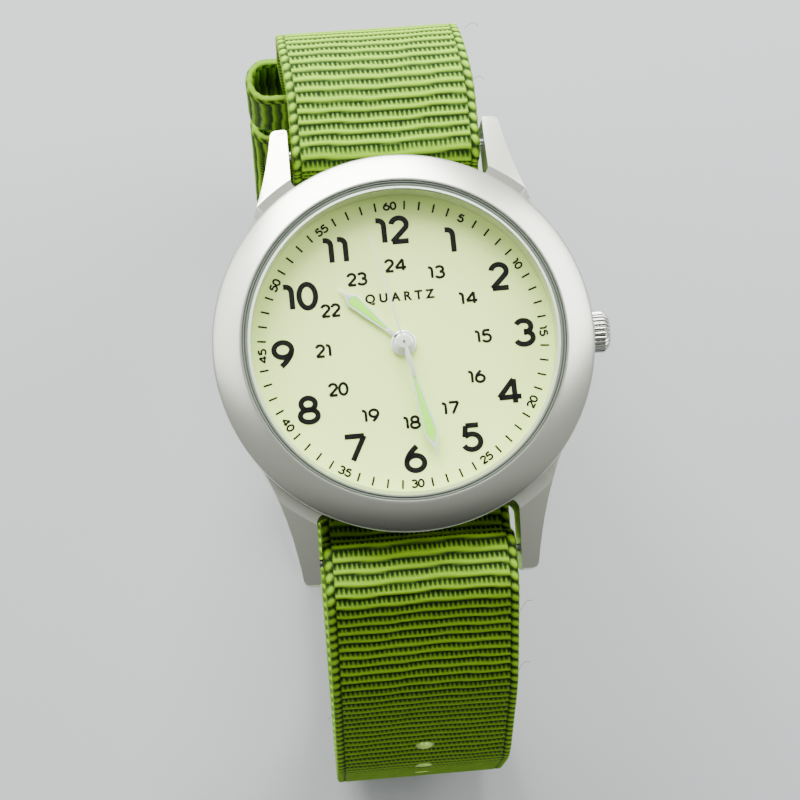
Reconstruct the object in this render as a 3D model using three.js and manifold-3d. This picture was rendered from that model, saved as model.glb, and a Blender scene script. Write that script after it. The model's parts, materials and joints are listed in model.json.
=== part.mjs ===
// A quartz wristwatch with a 38 mm steel case on a one-piece nylon strap, as the pieces it is
// assembled from. Millimetres. +Z leaves the dial, +Y points to 12 o'clock, +X to the crown.
// The origin is the middle of the strap's wrist side, straight under the dial's centre.
import * as THREE from "three";
import { mergeVertices } from "three/addons/utils/BufferGeometryUtils.js";
import Module from "manifold-3d";

const wasm = await Module();
wasm.setup();

// ---- Driving dimensions ----

// Case
const CASE_RADIUS = 19;
const FLANK_RADIUS = 18.6;
const LUG_GAP = 20;
const SHOULDER_RADIUS = 20.1;
const SHOULDER_TOP = 7.5;
const LUG_TIP_Y = 23.2;
const LUG_TIP_WIDTH = 1.7;
const BEZEL_OPENING = 16;
const CASE_FLOOR = 1.9;
const CASE_TOP = 7.9;
const BEZEL_TOP = 9.9;
const CAVITY_RADIUS = 15;
const DIAL_SEAT_RADIUS = 15.95;
const DIAL_SEAT = 6.4;
const BACK_OUTER_FACE = 1.5;

// Dial and hands
const DIAL_RADIUS = 15.6;
const DIAL_BOTTOM = 6.45;
const DIAL_TOP = 6.85;
const HOUR_HAND_LENGTH = 8.5;
const MINUTE_HAND_LENGTH = 12;
const SECOND_HAND_LENGTH = 11.5;
const HOUR_HAND_ANGLE = 314.5;
const MINUTE_HAND_ANGLE = 168.2;
const SECOND_HAND_ANGLE = 347;

// Spring bars
const BAR_Y = 21;
const BAR_Z = 3.3;
const BAR_RADIUS = 0.75;
const BAR_TIP_RADIUS = 0.4;

// Crown and stem
const STEM_Z = 4.95;
const CROWN_RADIUS = 2.1;
const CROWN_INNER_FACE = 18.9;
const CROWN_OUTER_FACE = 20.9;
const CROWN_FLUTES = 26;

// Strap
const STRAP_WIDTH = 19.3;
const STRAP_THICKNESS = 1.1;
const HOLE_PITCH = 6.55;
const TONGUE_HOLE_Y = -12.2;
const HOLES_BEFORE = 9;
const HOLES_AFTER = 2;
const HOLE_RADIUS = 0.9;
const BUCKLE_BAR_Y = -8.5;
const BUCKLE_BAR_Z = -48.6;
const BUCKLE_BAR_RADIUS = 0.7;
const RESTING_HEIGHT = -52.05;

// Movement
const PLATE_RADIUS = 13;
const PLATE_BOTTOM = 4.5;
const PLATE_TOP = 5.4;
const BRIDGE_BOTTOM = 2.95;
const BRIDGE_TOP = 3.25;
const ARBOR_RADIUS = 0.15;

const ROUND = 32;
const SMALL_ROUND = 10;
const ARC_STEP = Math.PI / 10;

// ---- Finishes ----

function finish(color, roughness, metalness) {
  return new THREE.MeshStandardMaterial({ color, roughness, metalness });
}

const satinSteel = finish(0xb9bab6, 0.38, 1);
const polishedSteel = finish(0xd0d0ce, 0.16, 1);
const plainSteel = finish(0xa3a6a8, 0.32, 1);
const brass = finish(0xb99a55, 0.35, 1);
const copper = finish(0xa4552c, 0.4, 1);
const blackPlastic = finish(0x1d1e20, 0.55, 0);
const whitePlastic = finish(0xdcdcd6, 0.5, 0);
const boardGreen = finish(0x1f5a3a, 0.5, 0);
const dialPaint = finish(0xdee4be, 0.55, 0);
const paleRing = finish(0x9aa58c, 0.45, 0);
const handSilver = finish(0xe9eceb, 0.3, 0.6);
const lume = finish(0xaae16e, 0.6, 0);
const gasketGrey = finish(0x8d958f, 0.6, 0);
const rubberBlack = finish(0x191919, 0.85, 0);
const crystalGlass = finish(0xeef4f2, 0.05, 0);
const nylon = finish(0x7ba03a, 0.85, 0);

// ---- Shape helpers ----

// A closed three.js geometry as a solid whose faces point out.
function solid(geometry) {
  const bare = new THREE.BufferGeometry();
  bare.setAttribute("position", geometry.getAttribute("position"));
  if (geometry.index) bare.setIndex(geometry.index);
  const merged = mergeVertices(bare, 1e-4);
  const corners = merged.index.array;
  const faces = [];
  for (let i = 0; i < corners.length; i += 3) {
    const [a, b, c] = corners.slice(i, i + 3);
    if (a !== b && b !== c && c !== a) faces.push(a, b, c);
  }
  const vertProperties = merged.getAttribute("position").array;
  const build = (order) =>
    new wasm.Manifold(
      new wasm.Mesh({ numProp: 3, vertProperties, triVerts: new Uint32Array(order) }),
    );
  const made = build(faces);
  return made.volume() > 0 ? made : build(faces.reverse());
}

// The solid turned about Z whose half section is a list of [radius, height] points.
function turned(section, segments = ROUND) {
  const points = section.map(([r, z]) => new THREE.Vector2(r, z));
  const onAxis = section[0][0] === 0 && section.at(-1)[0] === 0;
  if (!onAxis) points.push(points[0].clone());
  return solid(new THREE.LatheGeometry(points, segments).rotateX(Math.PI / 2));
}

function disc(radius, bottom, top, segments = SMALL_ROUND) {
  return turned([[0, bottom], [radius, bottom], [radius, top], [0, top]], segments);
}

function ring(inner, outer, bottom, top, segments = ROUND) {
  const section = [[inner, bottom], [outer, bottom], [outer, top], [inner, top]];
  return turned(section, segments);
}

// A cylinder along X.
function rodX(radius, from, to, y, z, segments = SMALL_ROUND) {
  const rod = new THREE.CylinderGeometry(radius, radius, to - from, segments);
  rod.rotateZ(Math.PI / 2);
  rod.translate((from + to) / 2, y, z);
  return solid(rod);
}

function box(x0, x1, y0, y1, z0, z1) {
  const block = new THREE.BoxGeometry(x1 - x0, y1 - y0, z1 - z0);
  block.translate((x0 + x1) / 2, (y0 + y1) / 2, (z0 + z1) / 2);
  return solid(block);
}

// A flat outline in X and Y given a thickness along Z.
function plate(shape, bottom, top, curveSegments = 8) {
  const options = { depth: top - bottom, bevelEnabled: false, curveSegments };
  return solid(new THREE.ExtrudeGeometry(shape, options).translate(0, 0, bottom));
}

function polygon(points) {
  return new THREE.Shape(points.map(([x, y]) => new THREE.Vector2(x, y)));
}

function post(x, y, radius, bottom, top) {
  return disc(radius, bottom, top).translate([x, y, 0]);
}

function polar(radius, degrees) {
  const angle = THREE.MathUtils.degToRad(degrees);
  return [radius * Math.cos(angle), radius * Math.sin(angle)];
}

function union(...solids) {
  return solids.reduce((sum, next) => sum.add(next));
}

function cut(body, ...tools) {
  return tools.reduce((rest, tool) => rest.subtract(tool), body);
}

// The mesh of one piece, placed in its group by x, y and z.
function piece(name, made, material, x = 0, y = 0, z = 0) {
  const { vertProperties, triVerts } = made.getMesh();
  const geometry = new THREE.BufferGeometry();
  geometry.setAttribute("position", new THREE.BufferAttribute(vertProperties, 3));
  geometry.setIndex(new THREE.BufferAttribute(triVerts, 1));
  geometry.computeVertexNormals();
  const mesh = new THREE.Mesh(geometry, material);
  mesh.name = name;
  mesh.position.set(x, y, z);
  return mesh;
}

const watch = new THREE.Group();

function group(...meshes) {
  const made = new THREE.Group();
  made.add(...meshes);
  watch.add(made);
  return made;
}

// ---- Case ----

// One lug at +X and +Y: its outline from above, cut to its outline from the side and to the
// cone that slopes down from the case's shoulder to the lug's tip.
function lug() {
  const inner = LUG_GAP / 2;
  const outer = inner + LUG_TIP_WIDTH;
  const corner = 0.4;
  const [flankX, flankY] = polar(FLANK_RADIUS, 30);
  const above = new THREE.Shape();
  above.moveTo(inner, 12.5);
  above.lineTo(flankX, flankY);
  above.bezierCurveTo(13.5, 14, 12.4, 17.9, outer, LUG_TIP_Y - corner);
  above.lineTo(outer - corner, LUG_TIP_Y);
  above.lineTo(inner, LUG_TIP_Y);
  const side = polygon([
    [9, 2.4],
    [18, 1.7],
    [22.4, 1],
    [LUG_TIP_Y, 1.6],
    [LUG_TIP_Y, SHOULDER_TOP],
    [9, SHOULDER_TOP],
  ]);
  const depth = 2 * CASE_RADIUS;
  const profile = new THREE.ExtrudeGeometry(side, { depth, bevelEnabled: false });
  profile.rotateY(Math.PI / 2);
  profile.rotateX(Math.PI / 2);
  const slope = turned([
    [0, 0],
    [26.5, 0],
    [26.5, 4.8],
    [SHOULDER_RADIUS, SHOULDER_TOP],
    [0, SHOULDER_TOP],
  ]);
  return plate(above, 0, CASE_TOP).intersect(solid(profile)).intersect(slope);
}

function mirrored(made, x, y) {
  return made.scale([x, y, 1]);
}

function caseMiddle() {
  const cornerLug = cut(lug(), disc(17, 0, BEZEL_TOP, ROUND));
  const body = turned([
    [CAVITY_RADIUS, 2.6],
    [16.7, 2.6],
    [16.7, CASE_FLOOR],
    [17.6, CASE_FLOOR],
    [18.2, 2.6],
    [FLANK_RADIUS, 4.8],
    [FLANK_RADIUS, 7.3],
    [18.3, CASE_TOP],
    [DIAL_SEAT_RADIUS, CASE_TOP],
    [DIAL_SEAT_RADIUS, DIAL_SEAT],
    [CAVITY_RADIUS, DIAL_SEAT],
  ]);
  const lugs = [1, -1].flatMap((x) => [1, -1].map((y) => mirrored(cornerLug, x, y)));
  const barHoles = [1, -1].flatMap((x) =>
    [1, -1].map((y) => {
      const from = x > 0 ? LUG_GAP / 2 - 0.5 : -LUG_GAP / 2 - 1.1;
      return rodX(BAR_TIP_RADIUS + 0.1, from, from + 1.6, y * BAR_Y, BAR_Z);
    }),
  );
  const tubeHole = rodX(1, CAVITY_RADIUS - 0.5, CASE_RADIUS + 1, 0, STEM_Z);
  return cut(union(body, ...lugs), ...barHoles, tubeHole);
}

function bezel() {
  return turned([
    [DIAL_SEAT_RADIUS, 8],
    [18.75, 8],
    [CASE_RADIUS, 8.2],
    [CASE_RADIUS, 8.45],
    [17.9, 9.25],
    [16.9, 9.75],
    [BEZEL_OPENING, BEZEL_TOP],
    [BEZEL_OPENING, 8.62],
    [DIAL_SEAT_RADIUS, 8.62],
  ]);
}

function crystal() {
  const radius = 15.45;
  const chamfer = 0.3;
  const top = 9.95;
  return turned([
    [0, 8.7],
    [radius, 8.7],
    [radius, top - chamfer],
    [radius - chamfer, top],
    [0, top],
  ]);
}

function caseBack() {
  const skirtTop = 3.4;
  const innerFace = 2.25;
  return turned([
    [0, BACK_OUTER_FACE],
    [15.9, BACK_OUTER_FACE],
    [16.4, 1.8],
    [16.4, 2.3],
    [14.6, 2.3],
    [14.6, skirtTop],
    [14.1, skirtTop],
    [14.1, innerFace],
    [0, innerFace],
  ]);
}

// The reflector ring between the dial and the crystal.
const rehaut = turned([[15.2, 6.9], [15.8, 6.9], [15.8, 8.6], [15.35, 8.6]]);

group(
  piece("case_middle", caseMiddle(), satinSteel),
  piece("bezel", bezel(), satinSteel),
  piece("crystal", crystal(), crystalGlass),
  piece("crystal_gasket", ring(15.5, 15.95, 8.67, 9.75), gasketGrey),
  piece("rehaut_ring", rehaut, paleRing),
  piece("caseback", caseBack(), polishedSteel),
  piece("caseback_gasket", ring(14.65, 14.95, 2.35, 2.95), rubberBlack),
  piece("crown_tube", crownTube(), plainSteel),
);

// ---- Crown, stem and setting parts ----

function crownTube() {
  const bore = rodX(0.55, CAVITY_RADIUS, CROWN_OUTER_FACE, 0, STEM_Z);
  return cut(rodX(0.95, CAVITY_RADIUS + 0.2, 19.6, 0, STEM_Z), bore);
}

function crown() {
  const flutedFrom = CROWN_INNER_FACE + 0.25;
  const flutedTo = CROWN_OUTER_FACE - 0.4;
  const outline = Array.from({ length: 2 * CROWN_FLUTES }, (_, i) =>
    polar(i % 2 ? CROWN_RADIUS : CROWN_RADIUS - 0.14, (i * 180) / CROWN_FLUTES),
  );
  const fluted = plate(polygon(outline), flutedFrom, flutedTo);
  const capRadius = CROWN_RADIUS - 0.1;
  const ends = turned([
    [0, CROWN_INNER_FACE],
    [capRadius, CROWN_INNER_FACE],
    [capRadius, flutedTo + 0.1],
    [CROWN_RADIUS - 0.5, CROWN_OUTER_FACE],
    [0, CROWN_OUTER_FACE],
  ]);
  const upright = union(fluted, ends);
  const lying = upright.rotate([0, 90, 0]).translate([0, 0, STEM_Z]);
  const tubeRoom = rodX(1.45, CROWN_INNER_FACE - 1, 20.1, 0, STEM_Z);
  const stemHole = rodX(0.42, 20, 20.6, 0, STEM_Z);
  return cut(lying, tubeRoom, stemHole);
}

const CLUTCH_FROM = 8.3;
const CLUTCH_TO = 9.3;
const STEM_SQUARE = 0.28;
const GROOVE_X = 10.2;

function stem() {
  const square = box(7.2, 9.75, -STEM_SQUARE, STEM_SQUARE, STEM_Z - STEM_SQUARE, STEM_Z + STEM_SQUARE);
  const groove = rodX(0.22, 9.7, 10.5, 0, STEM_Z);
  const collar = rodX(0.42, 9.6, 9.95, 0, STEM_Z);
  const shaft = rodX(0.42, GROOVE_X + 0.25, 19.8, 0, STEM_Z);
  const thread = rodX(0.34, 19.7, 20.5, 0, STEM_Z);
  return union(square, collar, groove, shaft, thread);
}

function crownGasket() {
  const outer = rodX(1.4, 19.05, 19.45, 0, STEM_Z);
  return cut(outer, rodX(1, 19, 19.5, 0, STEM_Z));
}

function clutchPinion() {
  const teeth = gear(12, 0.13, CLUTCH_FROM, CLUTCH_TO, 0);
  const lying = teeth.rotate([0, 90, 0]).translate([0, 0, STEM_Z]);
  const room = STEM_SQUARE + 0.06;
  const hole = box(8, 10, -room, room, STEM_Z - room, STEM_Z + room);
  return cut(lying, hole);
}

const LEVER_PIVOT = [10.7, 2.2];
const LEVER_PIN = [GROOVE_X, 0.5];

function settingLever() {
  const [pivotX, pivotY] = LEVER_PIVOT;
  const [pinX, pinY] = LEVER_PIN;
  const halfWidth = 0.32;
  const reach = Math.hypot(pinX - pivotX, pinY - pivotY);
  const arm = box(0, reach, -halfWidth, halfWidth, 5.5, 5.75);
  const heading = THREE.MathUtils.radToDeg(Math.atan2(pinY - pivotY, pinX - pivotX));
  const placedArm = arm.rotate([0, 0, heading]).translate([pivotX, pivotY, 0]);
  return union(
    placedArm,
    post(pivotX, pivotY, 0.55, 5.5, 5.75),
    post(pivotX, pivotY, 0.25, 4.7, 6),
    post(pinX, pinY, halfWidth, 5.5, 5.75),
    post(pinX, pinY, 0.18, 4.8, 5.6),
  );
}

// ---- Gears ----

// A spur gear with thin teeth that leave backlash: pointed on a wheel, flat-topped on a pinion.
// One of its teeth points along toothAt.
function gear(teeth, module, bottom, top, toothAt) {
  const pitchRadius = (teeth * module) / 2;
  const tip = pitchRadius + 0.6 * module;
  const root = pitchRadius - 0.95 * module;
  const pitch = 360 / teeth;
  const outline = [];
  for (let i = 0; i < teeth; i++) {
    const centre = toothAt + i * pitch;
    outline.push(polar(root, centre - 0.26 * pitch));
    if (teeth > 12) outline.push(polar(tip, centre));
    else outline.push(polar(tip, centre - 0.1 * pitch), polar(tip, centre + 0.1 * pitch));
    outline.push(polar(root, centre + 0.26 * pitch));
  }
  return plate(polygon(outline), bottom, top);
}

// Each arbor's place from the dial's centre, as a distance and a direction in degrees.
const THIRD_DISTANCE = 3.3;
const THIRD_HEADING = 135;
const FIFTH_DISTANCE = 3.3;
const FIFTH_HEADING = 315;
const ROTOR_DISTANCE = 2.5;
const ROTOR_HEADING = -75;
const MINUTE_WHEEL_DISTANCE = 1.92;
const MODULE_MINUTE_TRAIN = 0.12;
const THIRD = polar(THIRD_DISTANCE, THIRD_HEADING);
const FIFTH = polar(FIFTH_DISTANCE, FIFTH_HEADING);
const ROTOR_STEP = polar(ROTOR_DISTANCE, ROTOR_HEADING);
const ROTOR = [FIFTH[0] + ROTOR_STEP[0], FIFTH[1] + ROTOR_STEP[1]];
const SETTING_X = 4.56;

// Teeth of each pair, driver first.
const ROTOR_LEAVES = 6;
const FIFTH_TEETH = 36;
const FIFTH_LEAVES = 6;
const SECONDS_TEETH = 30;
const SECONDS_LEAVES = 6;
const THIRD_TEETH = 45;
const THIRD_LEAVES = 6;
const CENTER_TEETH = 48;
const CANNON_LEAVES = 8;
const MINUTE_TEETH = 24;
const MINUTE_LEAVES = 6;
const HOUR_TEETH = 24;
const SETTING_TEETH = 20;

function moduleOf(distance, teethA, teethB) {
  return (2 * distance) / (teethA + teethB);
}

// The heading that puts a gap of the driven gear where the driver's tooth comes from.
function gapFacing(heading, teeth) {
  return heading + 180 + 180 / teeth;
}

function rotor() {
  const module = moduleOf(ROTOR_DISTANCE, ROTOR_LEAVES, FIFTH_TEETH);
  const pinion = gear(ROTOR_LEAVES, module, 3.83, 4.07, ROTOR_HEADING + 180);
  return union(disc(ARBOR_RADIUS, 3, 5.2), disc(0.8, 3.35, 3.75), pinion);
}

function fifthWheel() {
  const wheelModule = moduleOf(ROTOR_DISTANCE, ROTOR_LEAVES, FIFTH_TEETH);
  const pinionModule = moduleOf(FIFTH_DISTANCE, FIFTH_LEAVES, SECONDS_TEETH);
  const facing = gapFacing(ROTOR_HEADING + 180, FIFTH_TEETH);
  const wheel = gear(FIFTH_TEETH, wheelModule, 3.85, 4.05, facing);
  const pinion = gear(FIFTH_LEAVES, pinionModule, 3.4, 3.7, FIFTH_HEADING + 180);
  return union(disc(ARBOR_RADIUS, 3, 5.2), wheel, pinion);
}

function secondsWheel() {
  const wheelModule = moduleOf(FIFTH_DISTANCE, FIFTH_LEAVES, SECONDS_TEETH);
  const pinionModule = moduleOf(THIRD_DISTANCE, SECONDS_LEAVES, THIRD_TEETH);
  const facing = gapFacing(FIFTH_HEADING + 180, SECONDS_TEETH);
  const wheel = gear(SECONDS_TEETH, wheelModule, 3.45, 3.65, facing);
  const pinion = gear(SECONDS_LEAVES, pinionModule, 3.8, 4.1, THIRD_HEADING);
  return union(disc(0.12, 3, 8.25), wheel, pinion);
}

function thirdWheel() {
  const wheelModule = moduleOf(THIRD_DISTANCE, SECONDS_LEAVES, THIRD_TEETH);
  const pinionModule = moduleOf(THIRD_DISTANCE, THIRD_LEAVES, CENTER_TEETH);
  const wheel = gear(THIRD_TEETH, wheelModule, 3.85, 4.05, gapFacing(THIRD_HEADING, THIRD_TEETH));
  const pinion = gear(THIRD_LEAVES, pinionModule, 4.15, 4.42, THIRD_HEADING + 180);
  return union(disc(ARBOR_RADIUS, 3, 5.2), wheel, pinion);
}

// The centre wheel, whose tube carries the cannon pinion and the minute hand.
function centerWheel() {
  const wheelModule = moduleOf(THIRD_DISTANCE, THIRD_LEAVES, CENTER_TEETH);
  const facing = gapFacing(THIRD_HEADING + 180, CENTER_TEETH);
  const wheel = gear(CENTER_TEETH, wheelModule, 4.2, 4.4, facing);
  const cannon = gear(CANNON_LEAVES, MODULE_MINUTE_TRAIN, 5.42, 5.7, 0);
  const tube = disc(0.3, 4.25, 7.8);
  return cut(union(wheel, cannon, tube), disc(0.18, 4, 8));
}

function minuteWheel() {
  const pinionModule = moduleOf(MINUTE_WHEEL_DISTANCE, MINUTE_LEAVES, HOUR_TEETH);
  const wheel = gear(MINUTE_TEETH, MODULE_MINUTE_TRAIN, 5.45, 5.67, gapFacing(0, MINUTE_TEETH));
  const pinion = gear(MINUTE_LEAVES, pinionModule, 5.6, 6.1, 180);
  return union(disc(0.2, 5, 6.25), wheel, pinion);
}

function hourWheel() {
  const wheelModule = moduleOf(MINUTE_WHEEL_DISTANCE, MINUTE_LEAVES, HOUR_TEETH);
  const wheel = gear(HOUR_TEETH, wheelModule, 5.8, 6.05, gapFacing(180, HOUR_TEETH));
  return cut(union(wheel, disc(0.62, 5.85, 7.3)), disc(0.38, 5, 8));
}

function settingWheel() {
  const wheel = gear(SETTING_TEETH, MODULE_MINUTE_TRAIN, 5.45, 5.67, 180);
  return union(disc(0.2, 5, 6.1), wheel);
}

group(
  piece("rotor", rotor(), plainSteel, ...ROTOR),
  piece("fifth_wheel", fifthWheel(), brass, ...FIFTH),
  piece("seconds_wheel", secondsWheel(), brass),
  piece("third_wheel", thirdWheel(), brass, ...THIRD),
  piece("center_wheel", centerWheel(), brass),
  piece("minute_wheel", minuteWheel(), brass, MINUTE_WHEEL_DISTANCE),
  piece("hour_wheel", hourWheel(), brass),
  piece("setting_wheel", settingWheel(), brass, SETTING_X),
  piece("clutch_pinion", clutchPinion(), plainSteel),
  piece("setting_lever", settingLever(), plainSteel),
  piece("stem", stem(), plainSteel),
  piece("crown", crown(), polishedSteel),
  piece("crown_gasket", crownGasket(), rubberBlack),
);

// ---- Movement frame and circuit ----

const BATTERY = polar(8.6, 225);
const BATTERY_RADIUS = 3.4;
const BRIDGE_SCREWS = [polar(5.6, 60), polar(5.6, 195), polar(5.4, -10)];
const CLAMP_REACH = 4.15;
const CLAMP_STEP = polar(CLAMP_REACH, 135);
const CLAMP_SCREWS = [1, -1].map((side) => [
  BATTERY[0] + side * CLAMP_STEP[0],
  BATTERY[1] + side * CLAMP_STEP[1],
]);
const BOARD_SCREWS = [polar(9.5, 40), polar(9.5, 140)];
const SCREW_RADIUS = 0.3;
const COIL_Y = -9.3;
const QUARTZ_CAN_Y = 9.3;
const COIL_Z = 3.18;
const COIL_FROM = -0.6;
const COIL_TO = 6.3;

function pillar([x, y], bottom) {
  return post(x, y, 0.7, bottom, PLATE_BOTTOM + 0.1);
}

function mainPlate() {
  const base = disc(PLATE_RADIUS, PLATE_BOTTOM, PLATE_TOP, ROUND);
  const rim = ring(11.8, PLATE_RADIUS, PLATE_TOP - 0.1, 6.35);
  const stemBlock = box(11.75, 12.6, -1.2, 1.2, 4, 6);
  const pillars = [
    ...BRIDGE_SCREWS.map((place) => pillar(place, BRIDGE_TOP + 0.05)),
    ...CLAMP_SCREWS.map((place) => pillar(place, 2.95)),
    ...BOARD_SCREWS.map((place) => pillar(place, 3.2)),
  ];
  const screwHoles = [...BRIDGE_SCREWS, ...CLAMP_SCREWS, ...BOARD_SCREWS].map(([x, y]) =>
    post(x, y, SCREW_RADIUS + 0.06, 2, 4.1),
  );
  const bearing = ARBOR_RADIUS + 0.05;
  return cut(
    union(base, rim, stemBlock, ...pillars),
    ...screwHoles,
    post(...BATTERY, BATTERY_RADIUS + 0.2, 4, 6),
    post(0, 0, 0.38, 4, 6),
    post(...THIRD, bearing, 4, 6),
    post(...FIFTH, bearing, 4, 6),
    post(...ROTOR, bearing, 4, 6),
    post(MINUTE_WHEEL_DISTANCE, 0, 0.26, 4, 6),
    post(SETTING_X, 0, 0.26, 4, 6),
    post(...LEVER_PIVOT, 0.31, 4, 6),
    box(6, 11.5, -1, 1, 4, 6),
    rodX(0.5, 11, 14, 0, STEM_Z),
  );
}

function trainBridge() {
  const holes = [THIRD, FIFTH, ROTOR, [0, 0]].map(([x, y]) => post(x, y, ARBOR_RADIUS + 0.05, 2, 4));
  const screws = BRIDGE_SCREWS.map(([x, y]) => post(x, y, SCREW_RADIUS + 0.08, 2, 4));
  const body = disc(6.7, BRIDGE_BOTTOM, BRIDGE_TOP, 32);
  return cut(body, post(...BATTERY, BATTERY_RADIUS + 0.3, 2, 4), ...holes, ...screws);
}

// The board is a sector of a ring on the 12 o'clock side.
function circuitBoard() {
  const from = THREE.MathUtils.degToRad(15);
  const to = THREE.MathUtils.degToRad(165);
  const outline = new THREE.Shape();
  outline.absarc(0, 0, 12.5, from, to);
  outline.absarc(0, 0, 7, to, from, true);
  const screws = BOARD_SCREWS.map(([x, y]) => post(x, y, SCREW_RADIUS + 0.08, 2, 4));
  return cut(plate(outline, BRIDGE_BOTTOM, BRIDGE_BOTTOM + 0.2, 20), ...screws);
}

function screw([x, y]) {
  const headBottom = BRIDGE_BOTTOM - 0.25;
  const headTop = BRIDGE_BOTTOM - 0.03;
  const driverSlot = box(x - 1, x + 1, y - 0.1, y + 0.1, headBottom - 1, headBottom + 0.1);
  const body = union(post(x, y, 0.6, headBottom, headTop), post(x, y, SCREW_RADIUS, headTop - 0.1, 4));
  return cut(body, driverSlot);
}

function coil() {
  const winding = rodX(0.75, COIL_FROM, COIL_TO, COIL_Y, COIL_Z, 20);
  return cut(winding, box(COIL_FROM - 1, COIL_TO + 1, COIL_Y - 0.5, COIL_Y + 0.5, 2.95, 3.41));
}

function coilCore() {
  const bar = box(COIL_FROM - 1.6, COIL_TO + 1.6, COIL_Y - 0.4, COIL_Y + 0.4, 3.02, 3.34);
  const tabs = [COIL_FROM - 1.05, COIL_TO + 1.05].map((x) =>
    box(x - 0.7, x + 0.7, COIL_Y - 0.8, COIL_Y + 0.8, 3.02, 3.34),
  );
  return union(bar, ...tabs);
}

function stator() {
  const outline = polygon([
    [COIL_FROM - 1.6, -10],
    [COIL_TO + 1.6, -10],
    [COIL_TO + 1.6, -3.4],
    [COIL_FROM - 1.6, -3.4],
  ]);
  const body = plate(outline, 3.41, 3.66);
  const coilWindow = box(COIL_FROM - 0.2, COIL_TO + 0.2, COIL_Y - 2, COIL_Y + 1.1, 3, 4);
  const rotorHole = post(...ROTOR, 1, 3, 4);
  const bridgePillar = post(...BRIDGE_SCREWS[2], 1, 3, 4);
  return cut(body, coilWindow, rotorHole, bridgePillar);
}

function batteryClamp() {
  const reach = CLAMP_REACH + 0.75;
  const bar = box(-reach, reach, -0.75, 0.75, BRIDGE_BOTTOM - 0.3, BRIDGE_BOTTOM - 0.15);
  const placed = bar.rotate([0, 0, 135]).translate([...BATTERY, 0]);
  const holes = CLAMP_SCREWS.map(([x, y]) => post(x, y, 0.66, 2, 4));
  const ears = CLAMP_SCREWS.map(([x, y]) => post(x, y, 0.95, BRIDGE_BOTTOM - 0.3, BRIDGE_BOTTOM - 0.15));
  return cut(union(placed, ...ears), ...holes);
}

function battery() {
  const [x, y] = BATTERY;
  const cell = turned([[0, 2.98], [2.9, 2.98], [BATTERY_RADIUS, 3.3], [BATTERY_RADIUS, 5.1], [0, 5.1]], 32);
  return cell.translate([x, y, 0]);
}

function movementHolder() {
  return cut(ring(13.1, 14.9, 3.5, 6.35), rodX(0.8, 12, 16, 0, STEM_Z));
}

group(
  piece("movement_holder", movementHolder(), whitePlastic),
  piece("main_plate", mainPlate(), blackPlastic),
  piece("train_bridge", trainBridge(), plainSteel),
  piece("circuit_board", circuitBoard(), boardGreen),
  piece("quartz_can", rodX(0.6, -2.4, 2.1, QUARTZ_CAN_Y, 3.82, 20), polishedSteel),
  piece("coil", coil(), copper),
  piece("coil_core", coilCore(), plainSteel),
  piece("stator", stator(), plainSteel),
  piece("battery", battery(), polishedSteel),
  piece("battery_clamp", batteryClamp(), plainSteel),
  ...BRIDGE_SCREWS.map((place, i) => piece(`bridge_screw_${i + 1}`, screw(place), plainSteel)),
  ...CLAMP_SCREWS.map((place, i) => piece(`clamp_screw_${i + 1}`, screw(place), plainSteel)),
  ...BOARD_SCREWS.map((place, i) => piece(`board_screw_${i + 1}`, screw(place), plainSteel)),
);

// ---- Dial and hands ----

const dial = ring(0.85, DIAL_RADIUS, DIAL_BOTTOM, DIAL_TOP);

// A hand that points along +Y: a narrow neck, a blade widest at its shoulder, a needle tip.
function bladeHand(length, neck, shoulder, width, tail) {
  const half = width / 2;
  const blade = new THREE.Shape();
  blade.moveTo(-0.25, -tail);
  blade.lineTo(0.25, -tail);
  blade.lineTo(0.2, neck);
  blade.lineTo(half, shoulder);
  blade.lineTo(0.1, length - 0.9);
  blade.lineTo(0.05, length);
  blade.lineTo(-0.05, length);
  blade.lineTo(-0.1, length - 0.9);
  blade.lineTo(-half, shoulder);
  blade.lineTo(-0.2, neck);
  return blade;
}

// The lume's outline, or with extra room its window in the hand.
function lumeShape(neck, shoulder, tip, width, room) {
  const half = width / 2 + room;
  return polygon([
    [-0.07 - room, neck - room],
    [0.07 + room, neck - room],
    [half, shoulder],
    [0, tip + 2 * room],
    [-half, shoulder],
  ]);
}

const HOUR_BLADE = { neck: 1.7, shoulder: 6.7, width: 1.3 };
const MINUTE_BLADE = { neck: 3, shoulder: 9.5, width: 1.25 };
const LUME_EDGE = 0.42;

function lumeFor(blade, length, room) {
  return lumeShape(blade.neck + 0.5, blade.shoulder, length - 1.5, blade.width - LUME_EDGE, room);
}

function pointed(made, clockAngle) {
  return made.rotate([0, 0, -clockAngle]);
}

function mainHand(blade, length, hub, bore, bottom, top) {
  const outline = bladeHand(length, blade.neck, blade.shoulder, blade.width, 0.4);
  const window = plate(lumeFor(blade, length, 0.05), bottom - 1, top + 1);
  const arm = cut(plate(outline, bottom, top), window);
  return cut(union(arm, disc(hub, bottom, top, 24)), disc(bore, bottom - 1, top + 1));
}

function secondHand() {
  const bottom = 7.98;
  const top = 8.13;
  const needle = polygon([
    [-0.1, 0],
    [0.1, 0],
    [0.05, SECOND_HAND_LENGTH],
    [-0.05, SECOND_HAND_LENGTH],
  ]);
  const counterweight = polygon([
    [-0.17, 0],
    [-0.17, -3.3],
    [0.17, -3.5],
    [0.17, 0],
  ]);
  const arms = union(plate(needle, bottom, top), plate(counterweight, bottom, top));
  return cut(union(arms, disc(0.68, bottom, top, 24)), disc(0.16, 7, 9));
}

const hourHand = mainHand(HOUR_BLADE, HOUR_HAND_LENGTH, 1.28, 0.67, 7.08, 7.25);
const minuteHand = mainHand(MINUTE_BLADE, MINUTE_HAND_LENGTH, 0.9, 0.35, 7.52, 7.7);
const hourLume = plate(lumeFor(HOUR_BLADE, HOUR_HAND_LENGTH, 0), 7.1, 7.27);
const minuteLume = plate(lumeFor(MINUTE_BLADE, MINUTE_HAND_LENGTH, 0), 7.54, 7.72);

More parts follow.
